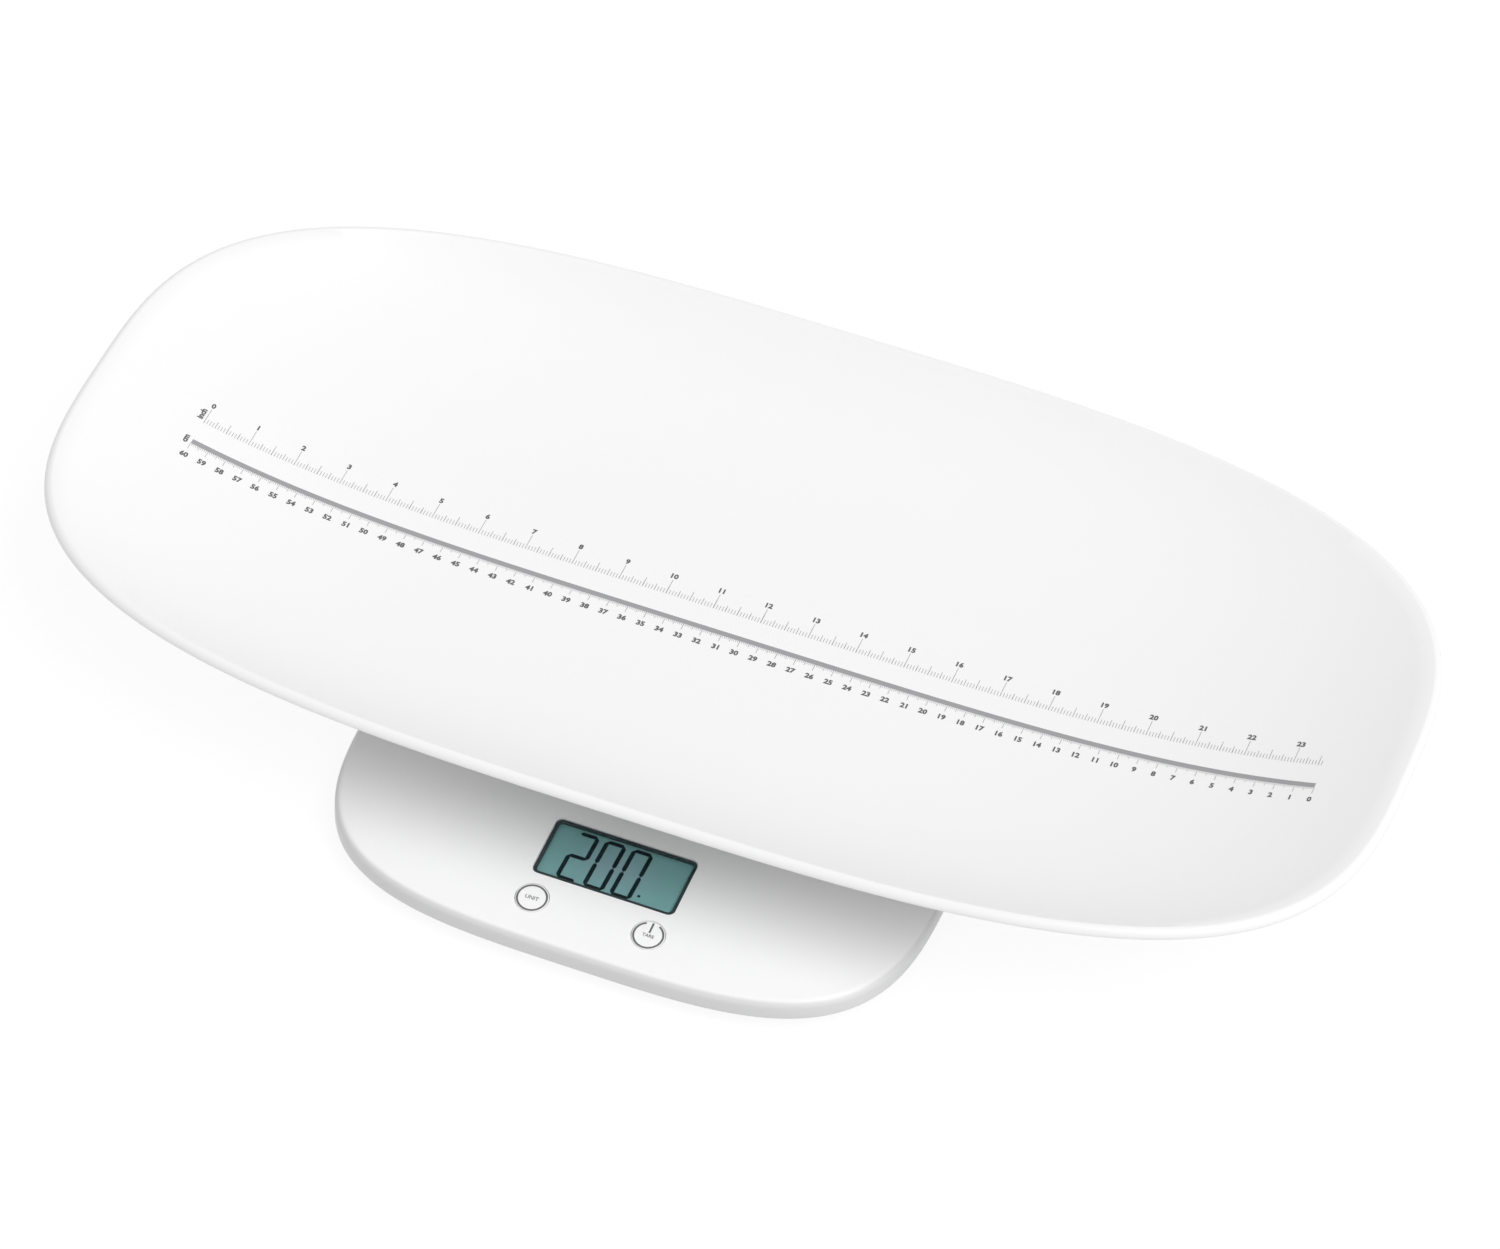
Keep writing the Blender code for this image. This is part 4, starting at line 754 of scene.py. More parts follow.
class AddRuler(bpy.types.Operator):
    """Print the centimetre and inch ruler on the dish"""

    bl_idname = "baby_scale.add_ruler"
    bl_label = "Ruler"

    def execute(self, context):
        sizes = context.scene.scale_ruler
        self.ground = bpy.data.objects["tray_dish"]
        dish = Dish(context.scene.scale_tray)
        self.ways, self.places = dish.places_along(-sizes.line_before_middle)
        line_ink = finish("ruler_line_ink", sizes.line_ink, 0.5, change=0.03, depth=0.0)
        number_ink = finish("ruler_number_ink", sizes.number_ink, 0.5, change=0.05, depth=0.0)
        right = sizes.right_end
        span = sizes.centimetres * UNITS["cm"]
        left = right - span
        low = -sizes.line_width / 2
        self.lay(self.bar("ruler_line", left, right, low, -low), line_ink, sizes)
        marks = [
            *self.marks(sizes, "cm", right, -1, low, span),
            *self.marks(sizes, "inch", left, 1, sizes.inch_row, span),
        ]
        self.lay(merged("ruler_marks", marks), line_ink, sizes)
        self.lay(merged("ruler_numbers", list(self.numbers(sizes, left, right))), number_ink, sizes)
        return {"FINISHED"}

    def bar(self, name, left, right, low, high, pieces=None):
        """A flat strip of the ruler, fine enough to follow the dish."""
        bpy.ops.object.select_all(action="DESELECT")
        bpy.ops.mesh.primitive_grid_add(
            x_subdivisions=pieces or max(1, round((right - left) / (2 * MM))),
            y_subdivisions=1,
            size=1,
            location=((left + right) / 2, (low + high) / 2, 0),
        )
        strip = added(name)
        strip.scale = (right - left, high - low, 1)
        return settled(strip)

    def marks(self, sizes, unit, start, way, foot, span):
        """Rows of fine marks along the ruler, which stand out from their line the same way."""
        half = sizes.mark_width / 2
        for kind, parts, reach in MARKS[unit]:
            pitch = UNITS[unit] / parts
            low, high = sorted((foot, foot + way * reach * MM))
            yield modified(
                self.bar(f"{unit}_{kind}", start - half, start + half, low, high, pieces=1),
                "ARRAY",
                count=math.floor(span / pitch + 0.001) + 1,
                use_relative_offset=False,
                use_constant_offset=True,
                constant_offset_displace=(way * pitch, 0, 0),
            )

    def numbers(self, sizes, left, right):
        """Centimetres from the right, inches from the left, and the unit words at the left."""
        height, bold = sizes.number_height, sizes.number_weight
        rows = (
            ("cm", right, -1, sizes.centimetres, -sizes.number_drop),
            ("inch", left, 1, sizes.inches, sizes.inch_row + sizes.number_rise),
        )
        for unit, start, way, last, y in rows:
            for value in range(last + 1):
                figure = word(f"{unit}_{value}", str(value), height, bold)
                place = (start + way * value * UNITS[unit], y, 0)
                yield settled(figure, Matrix.Translation(place))
        for unit, y in (("cm", 0.0), ("inch", sizes.inch_word)):
            label = word(f"unit_{unit}", unit, height, bold)
            place = Matrix.Translation((left - sizes.word_gap, y, 0))
            yield settled(label, place @ Matrix.Rotation(math.pi / 2, 4, "Z"))

    def lay(self, piece, ink, sizes):
        """Bend a flat print along the dish and set it down on the tray."""
        line = TRAY_MIDDLE.y - sizes.line_before_middle
        for vert in piece.data.vertices:
            x = along_dish(self.ways, self.places, vert.co.x)
            vert.co = (TRAY_MIDDLE.x + x, line + vert.co.y, TRAY_TOP + 50 * MM)
        printed(piece, self.ground, sizes.ink_thickness)
        ready(piece, "tray", ink, "tray_plastic")


class Deck:
    """The base's upper surface, and the control panel's own frame on it."""

    def __init__(self, sizes):
        self.sizes = sizes
        self.outer = (BASE_SIZE.x / 2, (BASE_SIZE.y - sizes.straight) / 2)
        self.inner = widened(self.outer, -sizes.fillet)
        lens = node_middle("lcd_window_lens")
        here = (lens.x, lens.y, self.height(lens.x, lens.y))
        self.panel = Matrix.Translation(here) @ Matrix.Rotation(PANEL_TILT, 4, "X")

    def height_at(self, share):
        return self.sizes.edge_height + self.sizes.deck_rise * (1 - share**self.sizes.deck_curve)

    def height(self, x, y):
        past = max(abs(y - BASE_MIDDLE.y) - self.sizes.straight / 2, 0)
        curve = self.sizes.outline_curve
        across = abs((x - BASE_MIDDLE.x) / self.inner[0]) ** curve
        share = (across + (past / self.inner[1]) ** curve) ** (1 / curve)
        return self.height_at(share)

    def panel_height(self, x, y):
        """Height of the deck over a place of the panel, along the panel's own normal."""
        height = 0.0
        for _ in range(3):
            point = self.panel @ Vector((x, y, height))
            height += self.height(point.x, point.y) - point.z
        return height

    def reach(self, node):
        """Lowest and highest point of a node in the panel's own frame."""
        back = self.panel.inverted()
        heights = [(back @ vert.co).z for vert in frame["nodes"][node].data.vertices]
        return min(heights), max(heights)

    def button_places(self):
        """Middle of each button in the panel's frame."""
        for name in ("unit", "power"):
            local = self.panel.inverted() @ node_middle(f"{name}_button_cap")
            yield name, local.x, local.y


class AddBase(bpy.types.Operator):
    """Build the upper cover of the base, with its seats, pegs and openings"""

    bl_idname = "baby_scale.add_base"
    bl_label = "Base"

    def execute(self, context):
        sizes = context.scene.scale_base
        deck = Deck(sizes)
        bend = sizes.skirt_round
        skirt = ringed(deck.outer, arc(-bend, BASE_BOTTOM + bend, bend, 0, -90))
        skirt.append((*widened(deck.outer, -sizes.wall), BASE_BOTTOM))
        rings = shell_rings(deck, sizes, sizes.fillet, sizes.edge_height, (10, 3), skirt)
        cover = shelled("base_deck", rings, sizes, BASE_MIDDLE, sizes.straight)
        for place in places_of("tray_seat_pad").values():
            joined(cover, self.seat(sizes, deck, place), "UNION")
        self.cut_window(sizes, deck, cover, context.scene.scale_display)
        self.cut_buttons(sizes, deck, cover, context.scene.scale_buttons)
        # Painted shade: the cover's sides greyed, fading out up the fillet to the deck's edge
        fade = (sizes.side_plastic, sizes.band_height, sizes.edge_height)
        plastic = cover_finish("base_plastic", sizes.plastic, fade)
        ready(cover, "base", plastic, "base_plastic")
        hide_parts("base_top_cover")
        self.add_pads(sizes)
        return {"FINISHED"}

    def seat(self, sizes, deck, place):
        """A low round seat with the peg that the tray's socket drops over."""
        top = sizes.seat_height
        end = top + sizes.peg_length
        edge, nose = sizes.soft_edge, sizes.peg_nose
        outline = [
            (sizes.seat_radius, deck.height(*place) - sizes.wall / 2),
            *arc(sizes.seat_radius - edge, top - edge, edge, 0, 90),
            (sizes.peg_radius + edge, top),
            (sizes.peg_radius, top + edge),
            *arc(sizes.peg_radius - nose, end - nose, nose, 0, 90),
            (sizes.peg_radius / 2, end),
        ]
        return turned("seat", outline, 72, place)

    def cut_window(self, sizes, deck, cover, display):
        """The recess that the window lies in, and the smaller opening over the crystal."""
        over = 1.0 * MM
        gap, ledge, corner = sizes.gap, display.ledge, display.window_corner
        window = (display.window_length, display.window_width)
        floor = deck.reach("lcd_window_lens")[1] - WINDOW_SIZE[2] - gap
        deep = deck.reach("lcd_glass")[1] - 2 * over
        for size, low, bend, steps in (
            (widened(window, 2 * gap), floor, corner + gap, 8),
            (widened(window, -2 * ledge), deep, corner - ledge, 6),
        ):
            opening = block("opening", size, low, over, corner=bend, steps=steps)
            joined(cover, settled(opening, deck.panel), "DIFFERENCE")

    def cut_buttons(self, sizes, deck, cover, buttons):
        deep = 8.0 * MM
        radius = buttons.radius + sizes.gap
        for _, x, y in deck.button_places():
            outline = [(radius, -deep), (radius, deep / 2)]
            joined(cover, settled(turned("hole", outline, 96, (x, y)), deck.panel), "DIFFERENCE")

    def add_pads(self, sizes):
        """Soft rings round the pegs."""
        low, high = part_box(f"tray_seat_pad_{QUARTERS[0]}")
        places = places_of("tray_seat_pad")
        inner = sizes.peg_radius + sizes.gap
        outer = (high.x - low.x) / 2
        edge = sizes.soft_edge
        outline = [
            (inner, low.z),
            (outer, low.z),
            *arc(outer - edge, high.z - edge, edge, 0, 90),
            *arc(inner + edge, high.z - edge, edge, 90, 180),
        ]
        first = turned(f"seat_ring_{QUARTERS[0]}", outline, 72, places[QUARTERS[0]], ring=True)
        silicone = finish("seat_silicone", (0.62, 0.63, 0.64), 0.55, change=0.04, grain=1200)
        for name, ring in spread(first, "seat_ring", places):
            ready(ring, "base", silicone, "silicone")
            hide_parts(f"tray_seat_pad_{name}")


class AddDisplay(bpy.types.Operator):
    """Build the display: the crystal with its digits, the dark well and the clear window over it"""

    bl_idname = "baby_scale.add_display"
    bl_label = "Display"

    def execute(self, context):
        sizes = context.scene.scale_display
        deck = Deck(context.scene.scale_base)
        crystal_top = deck.reach("lcd_glass")[1]
        window_top = deck.reach("lcd_window_lens")[1]
        window_back = window_top - WINDOW_SIZE[2]
        self.add_crystal(sizes, deck, crystal_top)
        self.add_digits(sizes, deck, crystal_top)
        self.add_window(sizes, deck, window_back, window_top)
        self.add_border(sizes, deck, window_back)
        self.add_well(sizes, deck, crystal_top, window_back)
        return {"FINISHED"}

    def add_crystal(self, sizes, deck, top):
        """The glass block that the digits stand on."""
        low = top - CRYSTAL_SIZE[2]
        edge = 0.2 * MM
        glass = block("lcd_crystal", CRYSTAL_SIZE, low, top, corner=2 * edge, edge=edge, steps=2)
        settled(glass, deck.panel)
        ready(glass, "base", crystal_finish(sizes.crystal, deck), "display")
        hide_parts("lcd_glass")

    def add_well(self, sizes, deck, low, high):
        """Dark sides of the well between the window and the crystal."""
        gap = 0.1 * MM
        wall = sizes.border - sizes.ledge
        corner = sizes.window_corner - sizes.ledge
        size = widened((sizes.window_length, sizes.window_width), -2 * (sizes.ledge + gap))
        well = block("display_well", size, low + gap, high - gap, corner=corner)
        room = widened(size, -2 * wall)
        inside = block("room", room, low - MM, high + MM, corner=corner - wall / 2)
        joined(well, inside, "DIFFERENCE")
        settled(well, deck.panel)
        dark = finish("well_plastic", (0.022, 0.03, 0.032), 0.5, change=0.1, depth=0.004)
        ready(well, "base", dark, "black_plastic")

    def add_digits(self, sizes, deck, top):
        """Three figures of seven bars, and the point beside them."""
        bars = []
        for place, figure in enumerate(sizes.reading):
            middle = Matrix.Translation((sizes.first_digit + place * sizes.digit_pitch, 0, 0))
            bars += [settled(self.bar(sizes, *BARS[name]), middle) for name in FIGURES[figure]]
        side = sizes.point_size
        place = (sizes.point_place, sizes.point_rise - sizes.digit_height / 2)
        bars.append(block("point", (side, side), 0, FILM, place))
        digits = merged("lcd_digits", bars)
        for vert in digits.data.vertices:
            vert.co.x += sizes.slant * vert.co.y
        settled(digits, deck.panel @ Matrix.Translation((0, sizes.digit_rise, top + FILM)))
        ink = finish("lcd_bars", sizes.bar_ink, 0.6, change=0.1, grain=300, depth=0.0)
        ink.node_tree.nodes["Principled BSDF"].inputs["Specular IOR Level"].default_value = 0.1
        ready(digits, "base", ink, "display")

    def bar(self, sizes, x, y, stands):
        """A flat bar with pointed ends, placed in half widths and half heights of its digit."""
        gap = 0.12 * MM
        thick = sizes.digit_bar
        long = sizes.digit_height / 2 if stands else sizes.digit_width
        bpy.ops.object.select_all(action="DESELECT")
        bpy.ops.mesh.primitive_plane_add(size=1)
        bar = added("bar")
        bar.scale = (long - thick - 2 * gap, thick, 1)
        settled(bar)
        for side in (-1, 1):
            select_edges(bar, lambda a, b: a.x * side > 0 and b.x * side > 0)
            move = {"value": (side * thick / 2, 0, 0)}
            bpy.ops.mesh.extrude_region_move(TRANSFORM_OT_translate=move)
            bpy.ops.transform.resize(value=(1, 0.2, 1), center_override=(0, 0, 0))
            bpy.ops.object.mode_set(mode="OBJECT")
        modified(bar, "SOLIDIFY", thickness=FILM, offset=1)
        place = Matrix.Translation((x * sizes.digit_width / 2, y * sizes.digit_height / 2, 0))
        return settled(bar, place @ Matrix.Rotation(math.pi / 2 if stands else 0.0, 4, "Z"))

    def add_window(self, sizes, deck, low, high):
        """The clear window."""
        size = (sizes.window_length, sizes.window_width)
        corner = sizes.window_corner
        lens = block("display_window", size, low, high, corner=corner, edge=0.2 * MM, steps=8)
        settled(lens, deck.panel)
        ready(lens, "base", clear_finish(), "window")
        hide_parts("lcd_window_lens")

    def add_border(self, sizes, deck, back):
        """A dark frame printed on the window's back, made a little wider behind and at the left as painted shade
        from the well's walls.
        """
        top = back - FILM
        size = (sizes.window_length, sizes.window_width)
        corner = sizes.window_corner
        rim = block("window_border", size, top - 0.05 * MM, top, corner=corner, steps=8)
        room = widened(size, -2 * sizes.border)
        bend = corner - sizes.border / 2
        # The opening is moved right and forward so that the printed frame is wider behind and at the left: painted
        # shade from the well's walls
        offset = (0.15 * MM, -0.25 * MM)
        joined(rim, block("inside", room, top - MM, top + MM, offset, corner=bend), "DIFFERENCE")
        settled(rim, deck.panel)
        dark = finish("window_frame_ink_and_shade", (0.02, 0.045, 0.048), 0.4, 0.06, 0.1, 500, 0.0)
        ready(rim, "base", dark, "black_plastic")


def crystal_finish(shade, deck):
    """Reflective crystal: teal, a little greyer in its middle, with a faint sparkle."""
    look, nodes, links, shader = node_tree("lcd_field")
    coordinates = nodes.new("ShaderNodeTexCoord")
    place = nodes.new("ShaderNodeMapping")
    reach = (30 * MM, 18 * MM, 60 * MM)
    middle = deck.panel.to_translation()
    place.inputs["Location"].default_value = [-at / far for at, far in zip(middle, reach)]
    place.inputs["Scale"].default_value = [1 / far for far in reach]
    ball = nodes.new("ShaderNodeTexGradient")
    ball.gradient_type = "SPHERICAL"
    ramp = nodes.new("ShaderNodeValToRGB")
    ramp.color_ramp.elements[0].color = (*shade, 1)
    grey = tuple(channel * share for channel, share in zip(shade, (1.25, 0.95, 1.05)))
    ramp.color_ramp.elements[1].color = (*grey, 1)
    links.new(coordinates.outputs["Object"], place.inputs["Vector"])
    links.new(place.outputs["Vector"], ball.inputs["Vector"])
    links.new(ball.outputs["Fac"], ramp.inputs["Fac"])
    links.new(ramp.outputs["Color"], shader.inputs["Base Color"])
    sparkle = mottle(nodes, links, coordinates, 4000.0)
    links.new(between(nodes, links, sparkle, 0.35, 0.5), shader.inputs["Roughness"])
    return look


def clear_finish():
    """A clear window: mostly see-through, with a polished face."""
    look, nodes, links, shader = node_tree("clear_window")
    shader.inputs["Base Color"].default_value = (0.02, 0.03, 0.03, 1)
    shader.inputs["Alpha"].default_value = 0.08
    coordinates = nodes.new("ShaderNodeTexCoord")
    smear = mottle(nodes, links, coordinates, 60.0)
    links.new(between(nodes, links, smear, 0.03, 0.09), shader.inputs["Roughness"])
    return look


class AddButtons(bpy.types.Operator):
    """Build the two buttons, with their printed rings, symbol and words"""

    bl_idname = "baby_scale.add_buttons"
    bl_label = "Buttons"

    def execute(self, context):
        sizes = context.scene.scale_buttons
        base = context.scene.scale_base
        deck = Deck(base)
        plastic = finish("button_plastic", base.plastic, 0.4, change=0.006, grain=2000, depth=0.003)
        ink = finish("button_ink", sizes.ink, 0.5, change=0.06, depth=0.0)
        for name, x, y in deck.button_places():
            cap = self.cap(sizes, deck, name, x, y)
            mark = merged(f"{name}_button_print", self.prints(sizes, name))
            settled(mark, deck.panel @ Matrix.Translation((x, y, 2 * MM)))
            printed(mark, cap, sizes.ink_thickness)
            ready(mark, f"{name}_button", ink, "black_plastic")
            ready(cap, f"{name}_button", plastic, "base_plastic")
            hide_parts(f"{name}_button_cap")
        return {"FINISHED"}

    def cap(self, sizes, deck, name, x, y):
        """A flat cap with a softened edge, a flange under the deck and a stem."""
        edge = sizes.edge
        rim = sizes.radius + sizes.flange
        under, flange = -sizes.flange_depth - sizes.flange_thickness, -sizes.flange_depth
        top = deck.panel_height(x, y) + sizes.proud
        outline = [
            (sizes.stem_radius, deck.reach(f"{name}_button_cap")[0]),
            (sizes.stem_radius, under),
            (rim, under),
            (rim, flange),
            (sizes.radius, flange),
            (sizes.radius, top - edge),
            *arc(sizes.radius - edge, top - edge, edge, 0, 90),
            *((sizes.radius * share, top) for share in (0.8, 0.6, 0.4, 0.2, 0.02)),
        ]
        cap = turned(f"{name}_cap", outline, 96, (x, y))
        for vert in cap.data.vertices:
            if vert.co.z > top - 2 * edge:
                vert.co.z += deck.panel_height(vert.co.x, vert.co.y) - deck.panel_height(x, y)
        return settled(cap, deck.panel)

    def prints(self, sizes, name):
        """A ring and a word, or a broken ring with a bar and a word."""
        if name == "unit":
            return [self.ring(sizes, 0), self.word_at("UNIT", sizes.word_height, 0)]
        ring = self.ring(sizes, sizes.ring_gap)
        size, place = (sizes.ring_line, sizes.bar_height), (0, sizes.bar_rise)
        bar = without_faces(
            block("bar", size, 0, 0.01 * MM, place), lambda face: face.normal.z < 0.5
        )
        return [ring, bar, self.word_at("TARE", sizes.word_height * 0.85, -0.2 * MM)]

    def word_at(self, text, height, y):
        return settled(word(text, text, height, 0.04 * MM), Matrix.Translation((0, y, 0)))

    def ring(self, sizes, gap):
        """A flat ring, left open on either side of its top by so many degrees."""
        inner = sizes.ring_radius - sizes.ring_line / 2
        grow = (sizes.ring_radius + sizes.ring_line / 2) / inner
        bpy.ops.object.select_all(action="DESELECT")
        bpy.ops.mesh.primitive_circle_add(vertices=120, radius=inner, fill_type="NOTHING")
        ring = added("ring")
        bpy.ops.object.mode_set(mode="EDIT")
        bpy.ops.mesh.select_all(action="SELECT")
        bpy.ops.mesh.extrude_region_move()
        bpy.ops.transform.resize(value=(grow, grow, 1), center_override=(0, 0, 0))
        bpy.ops.object.mode_set(mode="OBJECT")
        outward(ring)
        if ring.data.polygons[0].normal.z < 0:
            ring.data.flip_normals()
        if gap:
            without_faces(
                ring,
                lambda face: abs(math.atan2(face.center.x, face.center.y)) < math.radians(gap),
            )
        return ring


class AddUnderside(bpy.types.Operator):
    """Build the lower cover, with its foot holes, screw recesses and battery well"""

    bl_idname = "baby_scale.add_underside"
    bl_label = "Underside"

    def execute(self, context):
        sizes = context.scene.scale_base
        under = context.scene.scale_underside
        rings = self.profile(sizes, Deck(sizes))
        cover = shelled("lower_cover", rings, sizes, BASE_MIDDLE, sizes.straight)
        joined(cover, self.well_block(sizes, under), "UNION")
        for cutter in self.cutters(sizes, under):
            joined(cover, cutter, "DIFFERENCE")
        plastic = finish("lower_plastic", under.plastic, 0.45, 0.06, 0.012, 1600, 0.006)
        ready(cover, "base", plastic, "base_plastic")
        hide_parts("base_bottom_cover")
        return {"FINISHED"}

    def profile(self, sizes, deck):
        """A flat tray: floor, inner and outer sides, and an underside with a round edge."""
        outer = widened(deck.outer, -sizes.wall - sizes.gap)
        inside = widened(outer, -sizes.wall)
        low, bend = BASE_BOTTOM, sizes.chamfer
        under = widened(outer, -bend)
        top = low + sizes.rim_height
        shares = (0.0, 0.2, 0.4, 0.6, 0.8, 1.0)
        room = [(inside[0] * share, inside[1] * share, low + sizes.wall) for share in shares]
        base = [(under[0] * share, under[1] * share, low) for share in reversed(shares)]
        edge = ringed(outer, arc(-bend, low + bend, bend, 0, -90, 6))
        return [*room, (*inside, top), (*outer, top), *edge[:-1], *base]

    def well_block(self, sizes, under):
        """The closed box over the batteries."""
        low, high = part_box("battery_door")
        wall = under.well_wall + sizes.gap
        size = (high.x - low.x + 2 * wall, high.y - low.y + 2 * wall + under.tab_length)
        place = (0, (low.y + high.y - under.tab_length) / 2)
        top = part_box("battery_1")[1].z + wall
        return block("well", size, BASE_BOTTOM + sizes.wall / 2, top, place)

    def cutters(self, sizes, under):
        """Everything that is cut out of the lower cover."""
        over, gap = 1.0 * MM, sizes.gap
        below, inside = BASE_BOTTOM - over, BASE_BOTTOM + sizes.wall + over
        radius, bevel = under.foot_radius + under.foot_room, over + 0.6 * MM
        outline = [(radius + bevel, below), (radius, below + bevel), (radius, inside)]
        for place in places_of("foot").values():
            yield turned("foot_hole", outline, 72, place)
        low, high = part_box("housing_screw_1")
        radius, bevel = (high.x - low.x) / 2 + 0.4 * MM, over + 0.4 * MM
        seat = low.z + under.screw_head + gap
        outline = [
            (radius + bevel, below),
            (radius, below + bevel),
            (radius, seat),
            (under.screw_radius + gap, seat),
            (under.screw_radius + gap, seat + 3 * over),
        ]
        for place in places_of("housing_screw", range(1, under.screws + 1)).values():
            yield turned("screw_hole", outline, 36, place)
        door_low, door_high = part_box("battery_door")
        hinge = door_high.y - under.tab_length
        place = (0, (door_low.y + hinge) / 2)
        size = widened((door_high.x - door_low.x, hinge - door_low.y), 2 * gap)
        yield block("door_room", size, below, door_high.z + gap, place, corner=0.8 * MM)
        cells = [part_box(f"battery_{count}") for count in (1, 2, 3)]
        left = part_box("battery_contact_end_left")[0].x - gap
        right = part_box("battery_contact_end_right")[1].x + gap
        front, rear = cells[0][0].y - 0.4 * MM, cells[2][1].y + 0.4 * MM
        size, place = (right - left, rear - front), ((left + right) / 2, (front + rear) / 2)
        yield block("cell_room", size, below, cells[0][1].z + gap, place)
        swing = math.hypot(under.tab_length, door_high.z - BASE_BOTTOM)
        size = widened((under.tab_width, swing + under.tab_length), 2 * gap)
        low, y = door_high.z - under.tab_thickness - gap, hinge + (under.tab_length - swing) / 2
        for side in (-1, 1):
            place = (side * under.tab_spacing / 2, y)
            yield block("tab_room", size, low, BASE_BOTTOM + swing + gap, place)
        scoop = [
            (under.scoop_floor, BASE_BOTTOM + under.scoop_depth),
            (under.scoop_radius, BASE_BOTTOM + under.scoop_depth - 0.4 * MM),
            (under.scoop_radius + 0.6 * MM, below),
        ]
        yield turned("scoop", scoop, 64, (0, door_low.y))


class AddDoor(bpy.types.Operator):
    """Build the battery door, with its latch, grip lines and arrow"""

    bl_idname = "baby_scale.add_door"
    bl_label = "Battery door"

    def execute(self, context):
        under = context.scene.scale_underside
        low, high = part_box("battery_door")
        hinge = high.y - under.tab_length
        size, place = (high.x - low.x, hinge - low.y), (0, (low.y + hinge) / 2)
        door = block("door_panel", size, low.z, high.z, place, corner=0.6 * MM)
        bevelled(door, lambda a, b: max(a.z, b.z) < low.z + 0.01 * MM, 0.35 * MM, 3)
        size = (under.tab_width, 2 * under.tab_length)
        for side in (-1, 1):
            place = (side * under.tab_spacing / 2, hinge)
            tab = block("tab", size, high.z - under.tab_thickness, high.z, place)
            joined(door, tab, "UNION")
        size = (under.latch_slot, 2 * under.latch_length)
        for side in (-1, 1):
            place = (side * under.latch_width / 2, low.y)
            joined(door, block("slot", size, low.z - MM, high.z + MM, place), "DIFFERENCE")
        size = (under.latch_width - 4 * MM, under.grip_width)
        for step in range(under.grips):
            place = (0, low.y + under.first_grip + step * under.grip_pitch)
            groove = block("groove", size, low.z - MM, low.z + under.grip_depth, place)
            joined(door, groove, "DIFFERENCE")
        joined(door, self.arrow(under, low), "DIFFERENCE")
        plastic = finish("door_plastic", under.plastic, 0.42, 0.06, 0.012, 1500, 0.006)
        ready(door, "door", plastic, "base_plastic")
        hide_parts("battery_door")
        return {"FINISHED"}

    def arrow(self, under, low):
        """A shallow arrow head that points at the latch."""
        thick = 2.0 * MM
        bpy.ops.object.select_all(action="DESELECT")
        bpy.ops.mesh.primitive_cylinder_add(
            vertices=3,
            radius=under.arrow_radius,
            depth=thick,
            location=(0, low.y + under.arrow_place, low.z + under.arrow_depth - thick / 2),
            rotation=(0, 0, math.pi),
        )
        return settled(added("arrow"))


class AddFeet(bpy.types.Operator):
    """Build the four feet, each with a grooved rubber pad"""

    bl_idname = "baby_scale.add_feet"
    bl_label = "Feet"

    def execute(self, context):
        under = context.scene.scale_underside
        foot_look = finish("foot_plastic", under.foot_plastic, 0.5, grain=1200)
        rubber = finish("pad_rubber", under.rubber, 0.78, change=0.08, grain=1400, depth=0.03)
        places = places_of("foot")
        start = places[QUARTERS[0]]
        foot = turned(f"foot_disc_{QUARTERS[0]}", self.foot_outline(under), 80, start)
        pad = turned(f"foot_rubber_{QUARTERS[0]}", self.pad_outline(under), 80, start)
        for name, disc in spread(foot, "foot_disc", places):
            ready(disc, "base", foot_look, "foot_plastic")
            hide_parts(f"foot_{name}")
        for name, tread in spread(pad, "foot_rubber", places):
            ready(tread, "base", rubber, "rubber")
            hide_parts(f"foot_pad_{name}")
        return {"FINISHED"}

    def foot_outline(self, under):
        """From the pad's recess, round the foot, to the spigot that the load cell takes."""
        low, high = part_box(f"foot_{QUARTERS[0]}")
        pad_low, pad_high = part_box(f"foot_pad_{QUARTERS[0]}")
        gap, bevel, edge = 0.3 * MM, 0.2 * MM, 0.8 * MM
        recess = (pad_high.x - pad_low.x) / 2 + gap
        flange = (high.x - low.x) / 2
        top = high.z - under.spigot_height
        under_flange = top - under.flange_thickness
        return [
            (CORE, pad_high.z + gap),
            (recess, pad_high.z + gap),
            (recess, low.z + bevel),
            (recess + bevel, low.z),
            *arc(under.foot_radius - edge, low.z + edge, edge, -90, 0),
            (under.foot_radius, under_flange),
            (flange, under_flange),
            (flange, top),
            (under.spigot_radius, top),
            (under.spigot_radius, high.z),
            (CORE, high.z),
        ]

    def pad_outline(self, under):
        """A disc with three grooves in its tread."""
        low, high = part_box(f"foot_pad_{QUARTERS[0]}")
        radius = (high.x - low.x) / 2
        groove, deep, edge = under.tread_groove, under.tread_depth, 0.6 * MM
        outline = [(CORE, low.z)]
        for start in (radius * 0.3, radius * 0.55, radius * 0.8):
            outline += [
                (start - groove, low.z),
                (start - groove / 2, low.z + deep),
                (start + groove / 2, low.z + deep),
                (start + groove, low.z),
            ]
        outline += arc(radius - edge, low.z + edge, edge, -90, 0)
        return [*outline, (radius, high.z), (CORE, high.z)]


